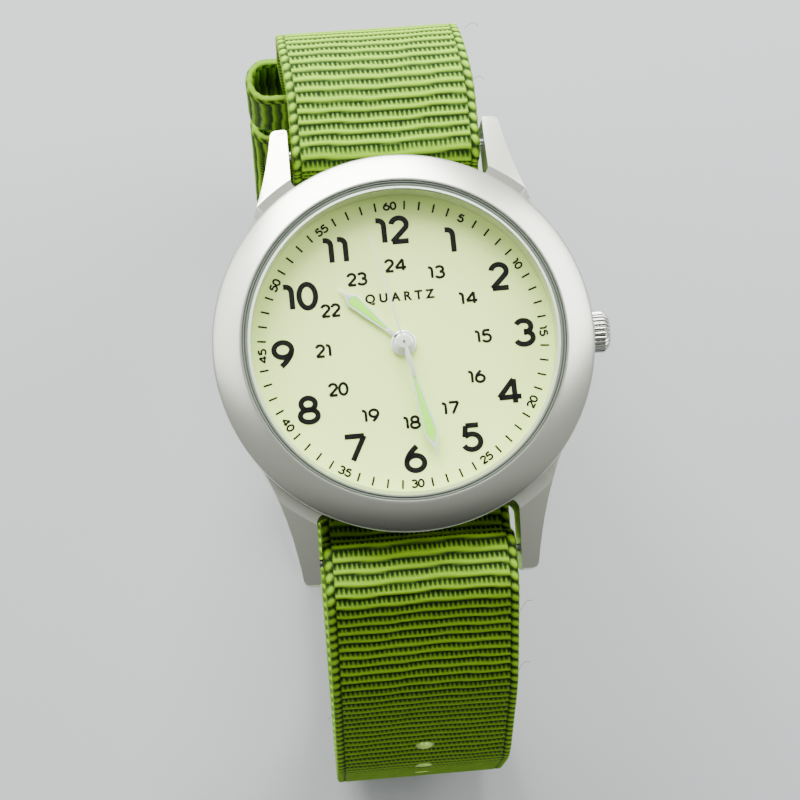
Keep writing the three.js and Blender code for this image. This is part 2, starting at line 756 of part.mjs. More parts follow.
group(
  piece("dial", dial, dialPaint),
  piece("hour_hand", pointed(hourHand, HOUR_HAND_ANGLE), handSilver),
  piece("hour_lume", pointed(hourLume, HOUR_HAND_ANGLE), lume),
  piece("minute_hand", pointed(minuteHand, MINUTE_HAND_ANGLE), handSilver),
  piece("minute_lume", pointed(minuteLume, MINUTE_HAND_ANGLE), lume),
  piece("second_hand", pointed(secondHand(), SECOND_HAND_ANGLE), handSilver),
);

// ---- Spring bars ----

function springBar(y) {
  const body = rodX(BAR_RADIUS, -9.7, 9.7, y, BAR_Z);
  const reach = LUG_GAP / 2 + 0.9;
  return union(body, rodX(BAR_TIP_RADIUS, -reach, reach, y, BAR_Z));
}

// ---- Strap ----

// The strap's centreline seen from the side, as corners [y, z, fillet radius].
const barWrap = BAR_RADIUS + 0.1 + STRAP_THICKNESS / 2;
const overBar = BAR_Z + barWrap;
const behindBar = BAR_Y - barWrap;
const underCase = STRAP_THICKNESS / 2;
const shortEnd = -49;
const tailHeight = -50.45;
const sideWall = 35.7;
const innerBend = 17;
const tailStep = shortEnd - tailHeight;
const outerBend = innerBend + tailStep;
const tailWall = sideWall + tailStep;
const cornersOfStrap = [
  [BUCKLE_BAR_Y + 1.2, shortEnd, 0],
  [sideWall, shortEnd, innerBend],
  [sideWall, overBar, 10],
  [behindBar, overBar, barWrap],
  [behindBar, underCase, barWrap],
  [-behindBar, underCase, barWrap],
  [-behindBar, overBar, barWrap],
  [-24.3, overBar, 5],
  [-34, -5.3, 16],
  [-42.1, -22, 21],
  [-44, -36, 15],
  [-40.5, -49.7, 11],
  [-15.8, -49.85, 4],
  [-9.5, -51.2, 5],
  [-5, -51.2, 5],
  [0, tailHeight, 5],
  [tailWall, tailHeight, outerBend],
  [tailWall, -18, 0],
];

// The path through the corners, its bends rounded, as points [y, z].
function filletedPath(corners) {
  const points = [];
  corners.forEach(([y, z, radius], i) => {
    const here = new THREE.Vector2(y, z);
    if (i === 0 || i === corners.length - 1) {
      points.push(here);
      return;
    }
    const back = new THREE.Vector2(...corners[i - 1]).sub(here).normalize();
    const ahead = new THREE.Vector2(...corners[i + 1]).sub(here).normalize();
    const half = Math.acos(back.dot(ahead)) / 2;
    const setback = radius / Math.tan(half);
    const middle = back.clone().add(ahead).normalize();
    const centre = here.clone().addScaledVector(middle, radius / Math.sin(half));
    const from = here.clone().addScaledVector(back, setback).sub(centre);
    const to = here.clone().addScaledVector(ahead, setback).sub(centre);
    const sweep = Math.atan2(from.cross(to), from.dot(to));
    const steps = Math.max(2, Math.ceil(Math.abs(sweep) / ARC_STEP));
    for (let k = 0; k <= steps; k++) {
      const spoke = from.clone().rotateAround(new THREE.Vector2(), (sweep * k) / steps);
      points.push(spoke.add(centre));
    }
  });
  return points;
}

// A band of even thickness along a path of [y, z] points, centred on X.
function band(path, thickness, width) {
  const sides = [[], []];
  path.forEach((point, i) => {
    const before = path[Math.max(i - 1, 0)];
    const after = path[Math.min(i + 1, path.length - 1)];
    const into = point.clone().sub(before).normalize();
    const away = after.clone().sub(point).normalize();
    const along = into.add(away).normalize();
    const across = new THREE.Vector2(-along.y, along.x);
    sides[0].push(point.clone().addScaledVector(across, thickness / 2));
    sides[1].push(point.clone().addScaledVector(across, -thickness / 2));
  });
  const outline = new THREE.Shape([...sides[0], ...sides[1].reverse()]);
  return alongX(outline, width);
}

// An outline in Y and Z stretched along X, centred on the dial's axis.
function alongX(outline, width) {
  const options = { depth: width, bevelEnabled: false, curveSegments: 8 };
  const made = new THREE.ExtrudeGeometry(outline, options);
  made.translate(0, 0, -width / 2);
  made.rotateY(Math.PI / 2);
  made.rotateX(Math.PI / 2);
  return solid(made);
}

// The point and direction at a distance along a path.
function walk(path, distance) {
  let left = distance;
  for (let i = 1; i < path.length; i++) {
    const step = path[i].clone().sub(path[i - 1]);
    if (left <= step.length()) {
      const direction = step.clone().normalize();
      return [path[i - 1].clone().addScaledVector(direction, left), direction];
    }
    left -= step.length();
  }
  throw new Error("the path is shorter than that");
}

function lengthOf(path) {
  return path.slice(1).reduce((sum, point, i) => sum + point.distanceTo(path[i]), 0);
}

// The distance along the path at which its last stretch passes y.
function distanceToLast(path, y) {
  const before = path.findLastIndex((point) => point.x < y);
  return lengthOf(path.slice(0, before + 1)) + y - path[before].x;
}

function strapHole(path, distance) {
  const [place, direction] = walk(path, distance);
  const drill = new THREE.CylinderGeometry(HOLE_RADIUS, HOLE_RADIUS, 2.4, 10);
  drill.rotateX(Math.atan2(direction.y, direction.x) + Math.PI / 2);
  drill.translate(0, place.x, place.y);
  return solid(drill);
}

function strap() {
  const path = filletedPath(cornersOfStrap);
  const eyeOuter = BUCKLE_BAR_RADIUS + 0.1 + STRAP_THICKNESS;
  const eye = rodX(eyeOuter, -STRAP_WIDTH / 2, STRAP_WIDTH / 2, BUCKLE_BAR_Y, BUCKLE_BAR_Z, 20);
  const barRoom = rodX(BUCKLE_BAR_RADIUS + 0.1, -20, 20, BUCKLE_BAR_Y, BUCKLE_BAR_Z, 20);
  const tongueSlot = box(-1.1, 1.1, BUCKLE_BAR_Y - 3, BUCKLE_BAR_Y + 2.1, -50.52, -46);
  const tongueAt = distanceToLast(path, TONGUE_HOLE_Y);
  const steps = Array.from({ length: HOLES_BEFORE + HOLES_AFTER + 1 }, (_, i) => i - HOLES_BEFORE);
  const unused = steps.filter((step) => step !== 0);
  const holes = unused.map((step) => strapHole(path, tongueAt + step * HOLE_PITCH));
  const wornHole = box(-0.95, 0.95, -14.4, -9.9, -52.5, -49.2);
  const cloth = band(path, STRAP_THICKNESS, STRAP_WIDTH);
  return cut(union(cloth, eye), barRoom, tongueSlot, wornHole, ...holes);
}

// ---- Keepers ----

const KEEPER_THICKNESS = 0.85;
const KEEPER_SHIFT = -1.25;
const KEEPER_INSIDE_HALF = 12;
const layersInner = shortEnd + STRAP_THICKNESS / 2 + 0.15;
const layersOuter = RESTING_HEIGHT + KEEPER_THICKNESS;
const fixedGap = layersInner - layersOuter;
const looseGap = fixedGap + 0.6;
const keeperMiddle = (layersInner + layersOuter) / 2;
const keeperDepth = shortEnd - keeperMiddle;

// A keeper's end view: a flat fabric loop round both layers of strap, its ends rounded.
function keeperOutline(gap) {
  const stadium = (half, height) => {
    const radius = height / 2;
    const outline = new THREE.Shape();
    outline.absarc(half - radius, 0, radius, -Math.PI / 2, Math.PI / 2);
    outline.absarc(-half + radius, 0, radius, Math.PI / 2, (3 * Math.PI) / 2);
    return outline;
  };
  const outline = stadium(KEEPER_INSIDE_HALF + KEEPER_THICKNESS, gap + 2 * KEEPER_THICKNESS);
  outline.holes.push(stadium(KEEPER_INSIDE_HALF, gap));
  return outline;
}

function straightKeeper(gap, length) {
  return plate(keeperOutline(gap), -length / 2, length / 2, 6);
}

// The keeper on the bend: a loop swept round the bend's centre, cut to its stretch of arc.
function bentKeeper(gap, fromAngle, toAngle) {
  const radius = innerBend + keeperDepth;
  const loop = (half, height) => {
    const side = half - height / 2;
    const ends = [-Math.PI / 2, -Math.PI / 4, 0, Math.PI / 4, Math.PI / 2];
    const right = ends.map((a) => [radius + (height / 2) * Math.sin(a), side + (height / 2) * Math.cos(a)]);
    const left = ends.map((a) => [radius - (height / 2) * Math.sin(a), -side - (height / 2) * Math.cos(a)]);
    return turned([...right, ...left], 40);
  };
  const outer = loop(KEEPER_INSIDE_HALF + KEEPER_THICKNESS, gap + 2 * KEEPER_THICKNESS);
  const whole = outer.subtract(loop(KEEPER_INSIDE_HALF, gap)).rotate([0, 90, 0]);
  const reach = 2 * radius;
  const sides = [fromAngle, (fromAngle + toAngle) / 2, toAngle].map((angle) => polar(reach, -angle));
  const wedge = polygon([[0, 0], ...sides]);
  return whole.intersect(alongX(wedge, 4 * KEEPER_INSIDE_HALF));
}

const FIXED_KEEPER_LENGTH = 9;
const FIXED_KEEPER_Y = 11;
const END_KEEPER_LENGTH = 12.5;
const END_KEEPER_Z = -26.25;
const bendCentreY = sideWall - innerBend;
const bendCentreZ = shortEnd + innerBend;
const fixedKeeper = straightKeeper(fixedGap, FIXED_KEEPER_LENGTH).rotate([90, 0, 0]);
const endKeeper = straightKeeper(looseGap, END_KEEPER_LENGTH);
const middleKeeper = bentKeeper(looseGap, 12, 56);

// ---- Buckle ----

function buckleFrame() {
  const halfOuter = 12.1;
  const halfInner = 10.3;
  const far = -17.6;
  const near = -15.6;
  const barBottom = RESTING_HEIGHT;
  const barTop = -50.55;
  const farBar = box(-halfOuter, halfOuter, far, near, barBottom, barTop);
  const arm = polygon([
    [far, barTop],
    [far, barBottom],
    [near, barBottom],
    [BUCKLE_BAR_Y - 0.5, -49.9],
    [BUCKLE_BAR_Y + 1.3, -49.3],
    [BUCKLE_BAR_Y + 1.3, -47.6],
    [BUCKLE_BAR_Y - 1, -47.5],
  ]);
  const width = halfOuter - halfInner;
  const offset = halfInner + width / 2;
  const arms = [1, -1].map((side) => alongX(arm, width).translate([side * offset, 0, 0]));
  const barHole = rodX(0.45, -20, 20, BUCKLE_BAR_Y, BUCKLE_BAR_Z);
  const notch = box(-0.85, 0.85, far - 1, -14, barBottom - 1, barBottom + 1.1);
  return cut(union(farBar, ...arms), barHole, notch);
}

function buckleBar() {
  const reach = 11.8;
  const body = rodX(BUCKLE_BAR_RADIUS, -10, 10, BUCKLE_BAR_Y, BUCKLE_BAR_Z, 20);
  return union(body, rodX(0.4, -reach, reach, BUCKLE_BAR_Y, BUCKLE_BAR_Z));
}

function buckleTongue() {
  const eye = BUCKLE_BAR_RADIUS + 0.08;
  const outline = new THREE.Shape();
  outline.moveTo(BUCKLE_BAR_Y - 0.5, -49.85);
  outline.lineTo(-13.6, -51.75);
  outline.lineTo(-17.3, -51.9);
  outline.lineTo(-17.3, -51.2);
  outline.lineTo(-14, -51.05);
  outline.lineTo(BUCKLE_BAR_Y - 1.2, -48.8);
  const finger = alongX(outline, 1.3);
  const wrap = rodX(eye + 0.7, -0.65, 0.65, BUCKLE_BAR_Y, BUCKLE_BAR_Z, 20);
  const barRoom = rodX(eye, -2, 2, BUCKLE_BAR_Y, BUCKLE_BAR_Z, 20);
  return cut(union(finger, wrap), barRoom);
}

group(
  piece("spring_bar_12", springBar(BAR_Y), plainSteel),
  piece("spring_bar_6", springBar(-BAR_Y), plainSteel),
  piece("strap", strap(), nylon),
  piece("keeper_fixed", fixedKeeper, nylon, KEEPER_SHIFT, FIXED_KEEPER_Y, keeperMiddle),
  piece("keeper_middle", middleKeeper, nylon, KEEPER_SHIFT, bendCentreY, bendCentreZ),
  piece("keeper_end", endKeeper, nylon, KEEPER_SHIFT, sideWall + keeperDepth, END_KEEPER_Z),
  piece("buckle_frame", buckleFrame(), polishedSteel),
  piece("buckle_bar", buckleBar(), plainSteel),
  piece("buckle_tongue", buckleTongue(), polishedSteel),
);

export default watch;
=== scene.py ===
import json
import math
import random

import bmesh
import bpy
import numpy as np
from mathutils import Matrix, Vector
from mathutils.geometry import tessellate_polygon


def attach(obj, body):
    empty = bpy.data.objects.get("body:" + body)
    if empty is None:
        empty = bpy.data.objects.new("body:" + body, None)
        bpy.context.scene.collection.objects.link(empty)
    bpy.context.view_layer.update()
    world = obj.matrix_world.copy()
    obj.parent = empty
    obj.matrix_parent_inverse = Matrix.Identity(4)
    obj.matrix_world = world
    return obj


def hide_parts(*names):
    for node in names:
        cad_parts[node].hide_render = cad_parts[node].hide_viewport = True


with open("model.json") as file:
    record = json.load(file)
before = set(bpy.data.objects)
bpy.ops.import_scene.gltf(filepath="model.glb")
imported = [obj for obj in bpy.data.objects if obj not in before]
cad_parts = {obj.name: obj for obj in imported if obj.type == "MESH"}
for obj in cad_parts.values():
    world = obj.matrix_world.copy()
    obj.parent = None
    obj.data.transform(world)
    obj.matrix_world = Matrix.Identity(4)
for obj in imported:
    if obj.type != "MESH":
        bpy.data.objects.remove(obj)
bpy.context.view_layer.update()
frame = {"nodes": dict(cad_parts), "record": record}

random.seed(4)
MM = 0.001
ROOT = "watch_head_and_strap"

# Case and dial, in millimetres
DIAL_TOP = 6.85
STEM_Z = 4.95
BAR_Y, BAR_Z = 21, 3.3
LUG_INNER, LUG_TIP_Y, LUG_OUTER = 10, 23.2, 11.7
BODY_RADIUS = 18.6
PRINT_TURN = 1.0
HAND_ANGLES = {"hour": 314.5, "minute": 168.2, "second": 347}

# Strap, keepers and buckle, in millimetres
STRAP_WIDTH = 19.3
STRAP_HALF = 0.42
SIDE_WALL = 35.7
RIB_PITCH = 1.15
THREAD_PITCH = 0.49
BRAID_WIDTH = 0.95
RIB_HEIGHT = 0.2
ROW_STEP = 0.19
ARC_STEP = 0.25
FIBRE_RADIUS = 0.022
STITCH_RADIUS = 0.11
BUCKLE_Y, BUCKLE_Z = -8.5, -48.6
HOLE_RADIUS = 0.9
HOLE_PITCH = 6.55
TONGUE_HOLE_Y = -12.2
KEEPER_SHIFT = -1.25
KEEPER_HALF = 12.43
KEEPER_Z = -49.75
FIXED_KEEPER_Y = 11
END_KEEPER_Z = -26.25
BEND_Z = -32
BEND_RADIUS = 17.75
MIDDLE_KEEPER_TURN = 34
FLOOR_Z = -52.05


# ---- Materials ----

def linear(red, green, blue):
    """A display colour of 0 to 255 as linear scene values."""
    values = [v / 255 for v in (red, green, blue)]
    return [v / 12.92 if v < 0.04045 else ((v + 0.055) / 1.055) ** 2.4 for v in values] + [1.0]


def material(name, colour, roughness, metallic=0.0, **sockets):
    made = bpy.data.materials.new(name)
    made.use_nodes = True
    shader = made.node_tree.nodes["Principled BSDF"]
    shader.inputs["Base Color"].default_value = linear(*colour)
    shader.inputs["Roughness"].default_value = roughness
    shader.inputs["Metallic"].default_value = metallic
    for socket, value in sockets.items():
        shader.inputs[socket.replace("_", " ")].default_value = value
    return made


def node(tree, kind, **values):
    made = tree.nodes.new(kind)
    for name, value in values.items():
        if hasattr(made, name):
            setattr(made, name, value)
        else:
            made.inputs[name.replace("_", " ")].default_value = value
    return made


def grain(made, scale, height, spread=0.0, stretch=(1, 1, 1)):
    """A fine uneven surface: a bump, and a little change of roughness."""
    tree = made.node_tree
    shader = tree.nodes["Principled BSDF"]
    place = node(tree, "ShaderNodeTexCoord")
    mapping = node(tree, "ShaderNodeMapping")
    mapping.inputs["Scale"].default_value = stretch
    noise = node(tree, "ShaderNodeTexNoise", Scale=scale, Detail=3.0)
    bump = node(tree, "ShaderNodeBump", Strength=1.0, Distance=height * MM)
    tree.links.new(place.outputs["Object"], mapping.inputs["Vector"])
    tree.links.new(mapping.outputs["Vector"], noise.inputs["Vector"])
    tree.links.new(noise.outputs["Fac"], bump.inputs["Height"])
    tree.links.new(bump.outputs["Normal"], shader.inputs["Normal"])
    if spread:
        base = shader.inputs["Roughness"].default_value
        span = node(tree, "ShaderNodeMapRange", To_Min=base - spread, To_Max=base + spread)
        tree.links.new(noise.outputs["Fac"], span.inputs["Value"])
        tree.links.new(span.outputs["Result"], shader.inputs["Roughness"])
    return made


def nylon():
    """Lime webbing: each thread a little different, with painted shade darker down in the grooves."""
    made = material("nylon_webbing", (132, 166, 60), 0.65, Specular_IOR_Level=0.06)
    tree = made.node_tree
    shader = tree.nodes["Principled BSDF"]
    depth = node(tree, "ShaderNodeAttribute", attribute_name="weave")
    # Painted shade: the ramp darkens the lime by the weave height, darkest in the grooves and lightest on
    # the rib tops.
    shade = node(tree, "ShaderNodeValToRGB")
    shade.color_ramp.elements[0].color = linear(26, 44, 11)
    shade.color_ramp.elements[1].color = linear(139, 187, 28)
    shade.color_ramp.elements.new(0.45).color = linear(70, 100, 34)
    place = node(tree, "ShaderNodeTexCoord")
    noise = node(tree, "ShaderNodeTexNoise", Scale=900, Detail=4.0)
    uneven = node(tree, "ShaderNodeMapRange", To_Min=0.93, To_Max=1.07)
    mix = node(tree, "ShaderNodeMix", data_type="RGBA", blend_type="MULTIPLY")
    mix.inputs[0].default_value = 1.0
    bump = node(tree, "ShaderNodeBump", Strength=0.6, Distance=0.06 * MM)
    fine = node(tree, "ShaderNodeTexNoise", Scale=9000, Detail=2.0)
    link = tree.links.new
    link(depth.outputs["Fac"], shade.inputs["Fac"])
    link(place.outputs["Object"], noise.inputs["Vector"])
    link(place.outputs["Object"], fine.inputs["Vector"])
    link(noise.outputs["Fac"], uneven.inputs["Value"])
    link(shade.outputs["Color"], mix.inputs[6])
    link(uneven.outputs["Result"], mix.inputs[7])
    link(mix.outputs[2], shader.inputs["Base Color"])
    link(fine.outputs["Fac"], bump.inputs["Height"])
    link(bump.outputs["Normal"], shader.inputs["Normal"])
    return made


def crystal_glass():
    """Clear flat glass: it lets light through to the dial and mirrors a little."""
    made = bpy.data.materials.new("crystal_glass")
    made.use_nodes = True
    tree = made.node_tree
    tree.nodes.remove(tree.nodes["Principled BSDF"])
    clear = node(tree, "ShaderNodeBsdfTransparent")
    clear.inputs["Color"].default_value = (0.97, 0.985, 0.975, 1)
    mirror = node(tree, "ShaderNodeBsdfGlossy", Roughness=0.02)
    mix = node(tree, "ShaderNodeMixShader", Fac=0.03)
    tree.links.new(clear.outputs["BSDF"], mix.inputs[1])
    tree.links.new(mirror.outputs["BSDF"], mix.inputs[2])
    tree.links.new(mix.outputs["Shader"], tree.nodes["Material Output"].inputs["Surface"])
    return made


LOOKS = {
    "satin_steel": grain(material("satin_steel", (199, 202, 190), 0.3, 1.0), 9000, 0.004, 0.03),
    "polished_steel": grain(material("polished_steel", (200, 201, 194), 0.16, 1.0), 3000, 0.001, 0.03),
    "plain_steel": grain(material("plain_steel", (175, 177, 180), 0.3, 1.0), 5000, 0.002, 0.05),
    "gear_brass": grain(material("gear_brass", (205, 172, 98), 0.3, 1.0), 5000, 0.002, 0.05),
    "copper_wire": grain(material("copper_wire", (190, 98, 52), 0.35, 1.0), 2500, 0.02, 0.05, (8, 1, 1)),
    "black_plastic": grain(material("black_plastic", (34, 35, 37), 0.5), 4000, 0.004, 0.05),
    "white_plastic": grain(material("white_plastic", (226, 225, 219), 0.45), 4000, 0.004, 0.05),
    "board_green": grain(material("board_green", (32, 98, 60), 0.4), 2500, 0.004, 0.08),
    "dial_paint": grain(material("dial_paint", (230, 251, 146), 0.6), 12000, 0.004),
    "reflector_ring": grain(material("reflector_ring", (196, 204, 160), 0.35), 4000, 0.001),
    "hand_silver": grain(material("hand_silver", (240, 244, 240), 0.3, 0.45), 9000, 0.001),
    "hand_lume": grain(material("hand_lume", (150, 242, 14), 0.55), 15000, 0.006),
    "gasket_grey": grain(material("gasket_grey", (84, 92, 82), 0.45), 4000, 0.002),
    "rubber_black": grain(material("rubber_black", (26, 26, 26), 0.8), 4000, 0.004),
    "crystal_glass": crystal_glass(),
    "strap_nylon": nylon(),
}
PRINT_INK = grain(material("dial_ink", (2, 3, 2), 0.7, Specular_IOR_Level=0.05), 12000, 0.001)
# Painted highlight: the crystal's chamfer and rim are whitish and half opaque, standing in for the light
# that glass edges catch.
CRYSTAL_EDGE_PAINTED_HIGHLIGHT = material("crystal_edge_painted_highlight", (226, 236, 226), 0.25, Alpha=0.6)
STITCH = grain(material("strap_thread", (96, 128, 40), 0.7), 9000, 0.01)
# Heat-sealed hole lining, glossy, and painted paler than the webbing: a painted highlight standing in for
# light seen through the holes.
MELTED_PAINTED_HIGHLIGHT = grain(material("melted_nylon_painted_highlight", (160, 190, 88), 0.25), 3000, 0.01)

for piece_row in frame["record"]["subparts"]:
    cad_node = frame["nodes"][piece_row["node"]]
    cad_node.data.materials.clear()
    cad_node.data.materials.append(LOOKS[piece_row["material_slot"]])


# ---- Mesh helpers ----

def mesh_of(vertices, faces, merge=1e-4):
    """A mesh in millimetres with its doubled vertices joined and its faces turned out."""
    made = bpy.data.meshes.new("made")
    made.from_pydata([tuple(map(float, v)) for v in vertices], [], faces)
    work = bmesh.new()
    work.from_mesh(made)
    bmesh.ops.remove_doubles(work, verts=work.verts, dist=merge)
    bmesh.ops.dissolve_degenerate(work, edges=work.edges, dist=merge)
    bmesh.ops.recalc_face_normals(work, faces=work.faces)
    work.to_mesh(made)
    work.free()
    return made


def softened(points, radius):
    """A closed outline with each corner rounded to about the radius."""
    out = []
    count = len(points)
    steps = 4
    for i, point in enumerate(points):
        here = Vector(point)
        back = Vector(points[i - 1]) - here
        ahead = Vector(points[(i + 1) % count]) - here
        if abs(here.x) < 1e-6 or back.length < 1e-6 or ahead.length < 1e-6:
            out.append(here)
            continue
        start = here + back.normalized() * min(radius, back.length * 0.45)
        end = here + ahead.normalized() * min(radius, ahead.length * 0.45)
        for k in range(steps + 1):
            t = k / steps
            out.append(start * (1 - t) ** 2 + here * (2 * t * (1 - t)) + end * t ** 2)
    return out


def lathe(profile, segments=192, radius=0.0, flutes=None):
    """A closed profile of (radius, height) turned round Z."""
    outline = softened(profile, radius) if radius else [Vector(p) for p in profile]
    rows = len(outline)
    vertices, faces = [], []
    for i in range(segments):
        angle = 2 * math.pi * i / segments
        for r, z in outline:
            r = r * (flutes(angle, r, z) if flutes else 1)
            vertices.append((r * math.cos(angle), r * math.sin(angle), z))
    for i in range(segments):
        for k in range(rows):
            a, b = i * rows, (i + 1) % segments * rows
            n = (k + 1) % rows
            faces.append((a + k, b + k, b + n, a + n))
    return mesh_of(vertices, faces)


def prism(loops, low, high):
    """A plate with these outlines, the first the outside and the rest holes."""
    flat = [Vector((p[0], p[1], 0)) for loop in loops for p in loop]
    count = len(flat)
    vertices = [(p.x, p.y, z) for z in (low, high) for p in flat]
    if len(loops) == 1:
        faces = [tuple(range(count)), tuple(range(count, 2 * count))]
    else:
        tops = tessellate_polygon([[Vector((p[0], p[1], 0)) for p in loop] for loop in loops])
        faces = [tuple(t) for t in tops] + [tuple(i + count for i in t) for t in tops]
    start = 0
    for loop in loops:
        size = len(loop)
        for i in range(size):
            a, b = start + i, start + (i + 1) % size
            faces.append((a, b, b + count, a + count))
        start += size
    return mesh_of(vertices, faces)


def circle(radius):
    turns = [2 * math.pi * i / 64 for i in range(64)]
    return [(radius * math.cos(a), radius * math.sin(a)) for a in turns]


def thing(mesh):
    made = bpy.data.objects.new("work", mesh)
    bpy.context.scene.collection.objects.link(made)
    return made


def settled(made):
    """The object's mesh with its modifiers applied."""
    graph = bpy.context.evaluated_depsgraph_get()
    mesh = bpy.data.meshes.new_from_object(made.evaluated_get(graph), depsgraph=graph)
    bpy.data.objects.remove(made)
    return mesh


def joined(mesh, other, operation):
    a, b = thing(mesh), thing(other)
    step = a.modifiers.new("step", "BOOLEAN")
    step.operation = operation
    step.solver = "EXACT"
    step.object = b
    made = settled(a)
    bpy.data.objects.remove(b)
    return made


def bevelled(mesh, width, segments=3, angle=28):
    made = thing(mesh)
    step = made.modifiers.new("edges", "BEVEL")
    step.width = width
    step.segments = segments
    step.limit_method = "ANGLE"
    step.angle_limit = math.radians(angle)
    step.harden_normals = False
    return settled(made)


def moved(mesh, matrix):
    mesh.transform(matrix)
    if matrix.determinant() < 0:
        mesh.flip_normals()
    return mesh


def turned(mesh, degrees, axis):
    return moved(mesh, Matrix.Rotation(math.radians(degrees), 4, axis))


def shifted(mesh, x, y, z):
    return moved(mesh, Matrix.Translation((x, y, z)))


def merged(*meshes):
    """Several meshes as one, without joining their surfaces."""
    work = bmesh.new()
    for mesh in meshes:
        work.from_mesh(mesh)
    made = bpy.data.meshes.new("made")
    work.to_mesh(made)
    work.free()
    return made


def place(name, mesh, looks, slot, body, *nodes, smooth=36, weighted=True):
    """Puts a mesh in the scene as a piece of the watch."""
    mesh.transform(Matrix.Scale(MM, 4))
    mesh.materials.clear()
    for look in looks if isinstance(looks, (list, tuple)) else [looks]:
        mesh.materials.append(look)
    mesh.shade_smooth()
    mesh.set_sharp_from_angle(angle=math.radians(smooth))
    made = bpy.data.objects.new(name, mesh)
    bpy.context.scene.collection.objects.link(made)
    if weighted:
        made.modifiers.new("normals", "WEIGHTED_NORMAL").keep_sharp = True
    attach(made, body)
    if nodes:
        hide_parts(*nodes)
    return made


def along_x(mesh, y=0.0, z=0.0):
    """A shape made round Z laid along X."""
    return shifted(turned(mesh, 90, "Y"), 0, y, z)


def side_prism(outline, low, high):
    """A plate whose outline is given in Y and Z, from low to high along X."""
    mesh = prism([outline], low, high)
    return moved(mesh, Matrix(((0, 0, 1, 0), (1, 0, 0, 0), (0, 1, 0, 0), (0, 0, 0, 1))))


# ---- Case ----

def lug():
    """The lug at +X and +Y, its gap's corner filleted and its tip rounded."""
    fillet = 1.0
    centre_x = LUG_INNER - fillet
    centre_y = math.sqrt((BODY_RADIUS + fillet) ** 2 - centre_x ** 2)
    start = math.atan2(-centre_y, -centre_x)
    outline = [(centre_x * 0.93, centre_y * 0.93)]
    for k in range(9):
        angle = start + (0 - start) * k / 8
        outline.append((centre_x + fillet * math.cos(angle), centre_y + fillet * math.sin(angle)))
    outline += [(LUG_INNER, 20), (LUG_INNER, 22.9), (10.08, 23.12), (10.3, LUG_TIP_Y)]
    outline += [(11.2, LUG_TIP_Y), (11.5, 23.08), (LUG_OUTER, 22.75)]
    tip, flank = Vector((LUG_OUTER, 22.75)), Vector((16.108, 9.3))
    first, second = Vector((12.4, 17.9)), Vector((13.5, 14))
    for k in range(1, 25):
        t = k / 24
        point = tip * (1 - t) ** 3 + first * (3 * t * (1 - t) ** 2)
        outline.append(point + second * (3 * t * t * (1 - t)) + flank * t ** 3)
    outline.append((14.6, 8.4))
    body = prism([outline], 0.5, 8)
    side = [(7, 2.4), (18, 1.7), (22.4, 1), (LUG_TIP_Y + 0.01, 1.6), (LUG_TIP_Y + 0.01, 7.5), (7, 7.5)]
    body = joined(body, side_prism(side, 0, 20), "INTERSECT")
    slope = lathe([(0, 0), (26.5, 0), (26.5, 4.8), (20.1, 7.5), (0, 7.5)], 256)
    return bevelled(joined(body, slope, "INTERSECT"), 0.12, 3, 14)


def case_middle():
    body = lathe([
        (15, 2.6), (16.7, 2.6), (16.7, 1.9), (17.6, 1.9), (18.2, 2.6), (18.6, 4.8), (18.6, 7.3),
        (18.3, 7.9), (15.95, 7.9), (15.95, 6.4), (15, 6.4),
    ], 256, 0.15)
    room = lathe([(0, -1), (17, -1), (17, 9), (0, 9)], 128)
    corner = joined(lug(), room, "DIFFERENCE")
    for x in (1, -1):
        for y in (1, -1):
            mirrored = moved(corner.copy(), Matrix.Diagonal((x, y, 1, 1)))
            body = joined(body, mirrored, "UNION")
    for x in (-1, 1):
        for y in (-BAR_Y, BAR_Y):
            hole = along_x(lathe([(0, 9.5), (0.5, 9.5), (0.5, 11.1), (0, 11.1)], 24), y, BAR_Z)
            body = joined(body, moved(hole, Matrix.Diagonal((x, 1, 1, 1))), "DIFFERENCE")
    tube = along_x(lathe([(0, 14.5), (1, 14.5), (1, 20), (0, 20)], 48), 0, STEM_Z)
    return joined(body, tube, "DIFFERENCE")


place("case_middle_look", case_middle(), LOOKS["satin_steel"], "satin_steel",
      ROOT, "case_middle", smooth=16)


def bend(start, middle, end, steps=8):
    """Points along a curve that leans towards its middle point."""
    points = []
    for k in range(steps + 1):
        t = k / steps
        weights = ((1 - t) ** 2, 2 * t * (1 - t), t * t)
        points.append(tuple(sum(w * p[i] for w, p in zip(weights, (start, middle, end))) for i in (0, 1)))
    return points


bezel_outline = [(15.95, 8), (18.75, 8), (18.95, 8.1), (19, 8.22), (19, 8.42), (18.93, 8.52)]
bezel_outline += bend((18.86, 8.58), (17.6, 9.42), (16.12, 9.89), 14) + [(16.04, 9.87), (16, 9.8)]
bezel_outline += [(16, 8.62), (15.95, 8.62)]
place("bezel_look", lathe(bezel_outline, 256), LOOKS["satin_steel"], "satin_steel", ROOT, "bezel")


crystal = lathe([(0, 8.7), (15.45, 8.7), (15.45, 9.65), (15.15, 9.95), (0, 9.95)], 256)
glass = place("crystal_look", crystal, [LOOKS["crystal_glass"], CRYSTAL_EDGE_PAINTED_HIGHLIGHT], "crystal_glass",
              ROOT, "crystal")
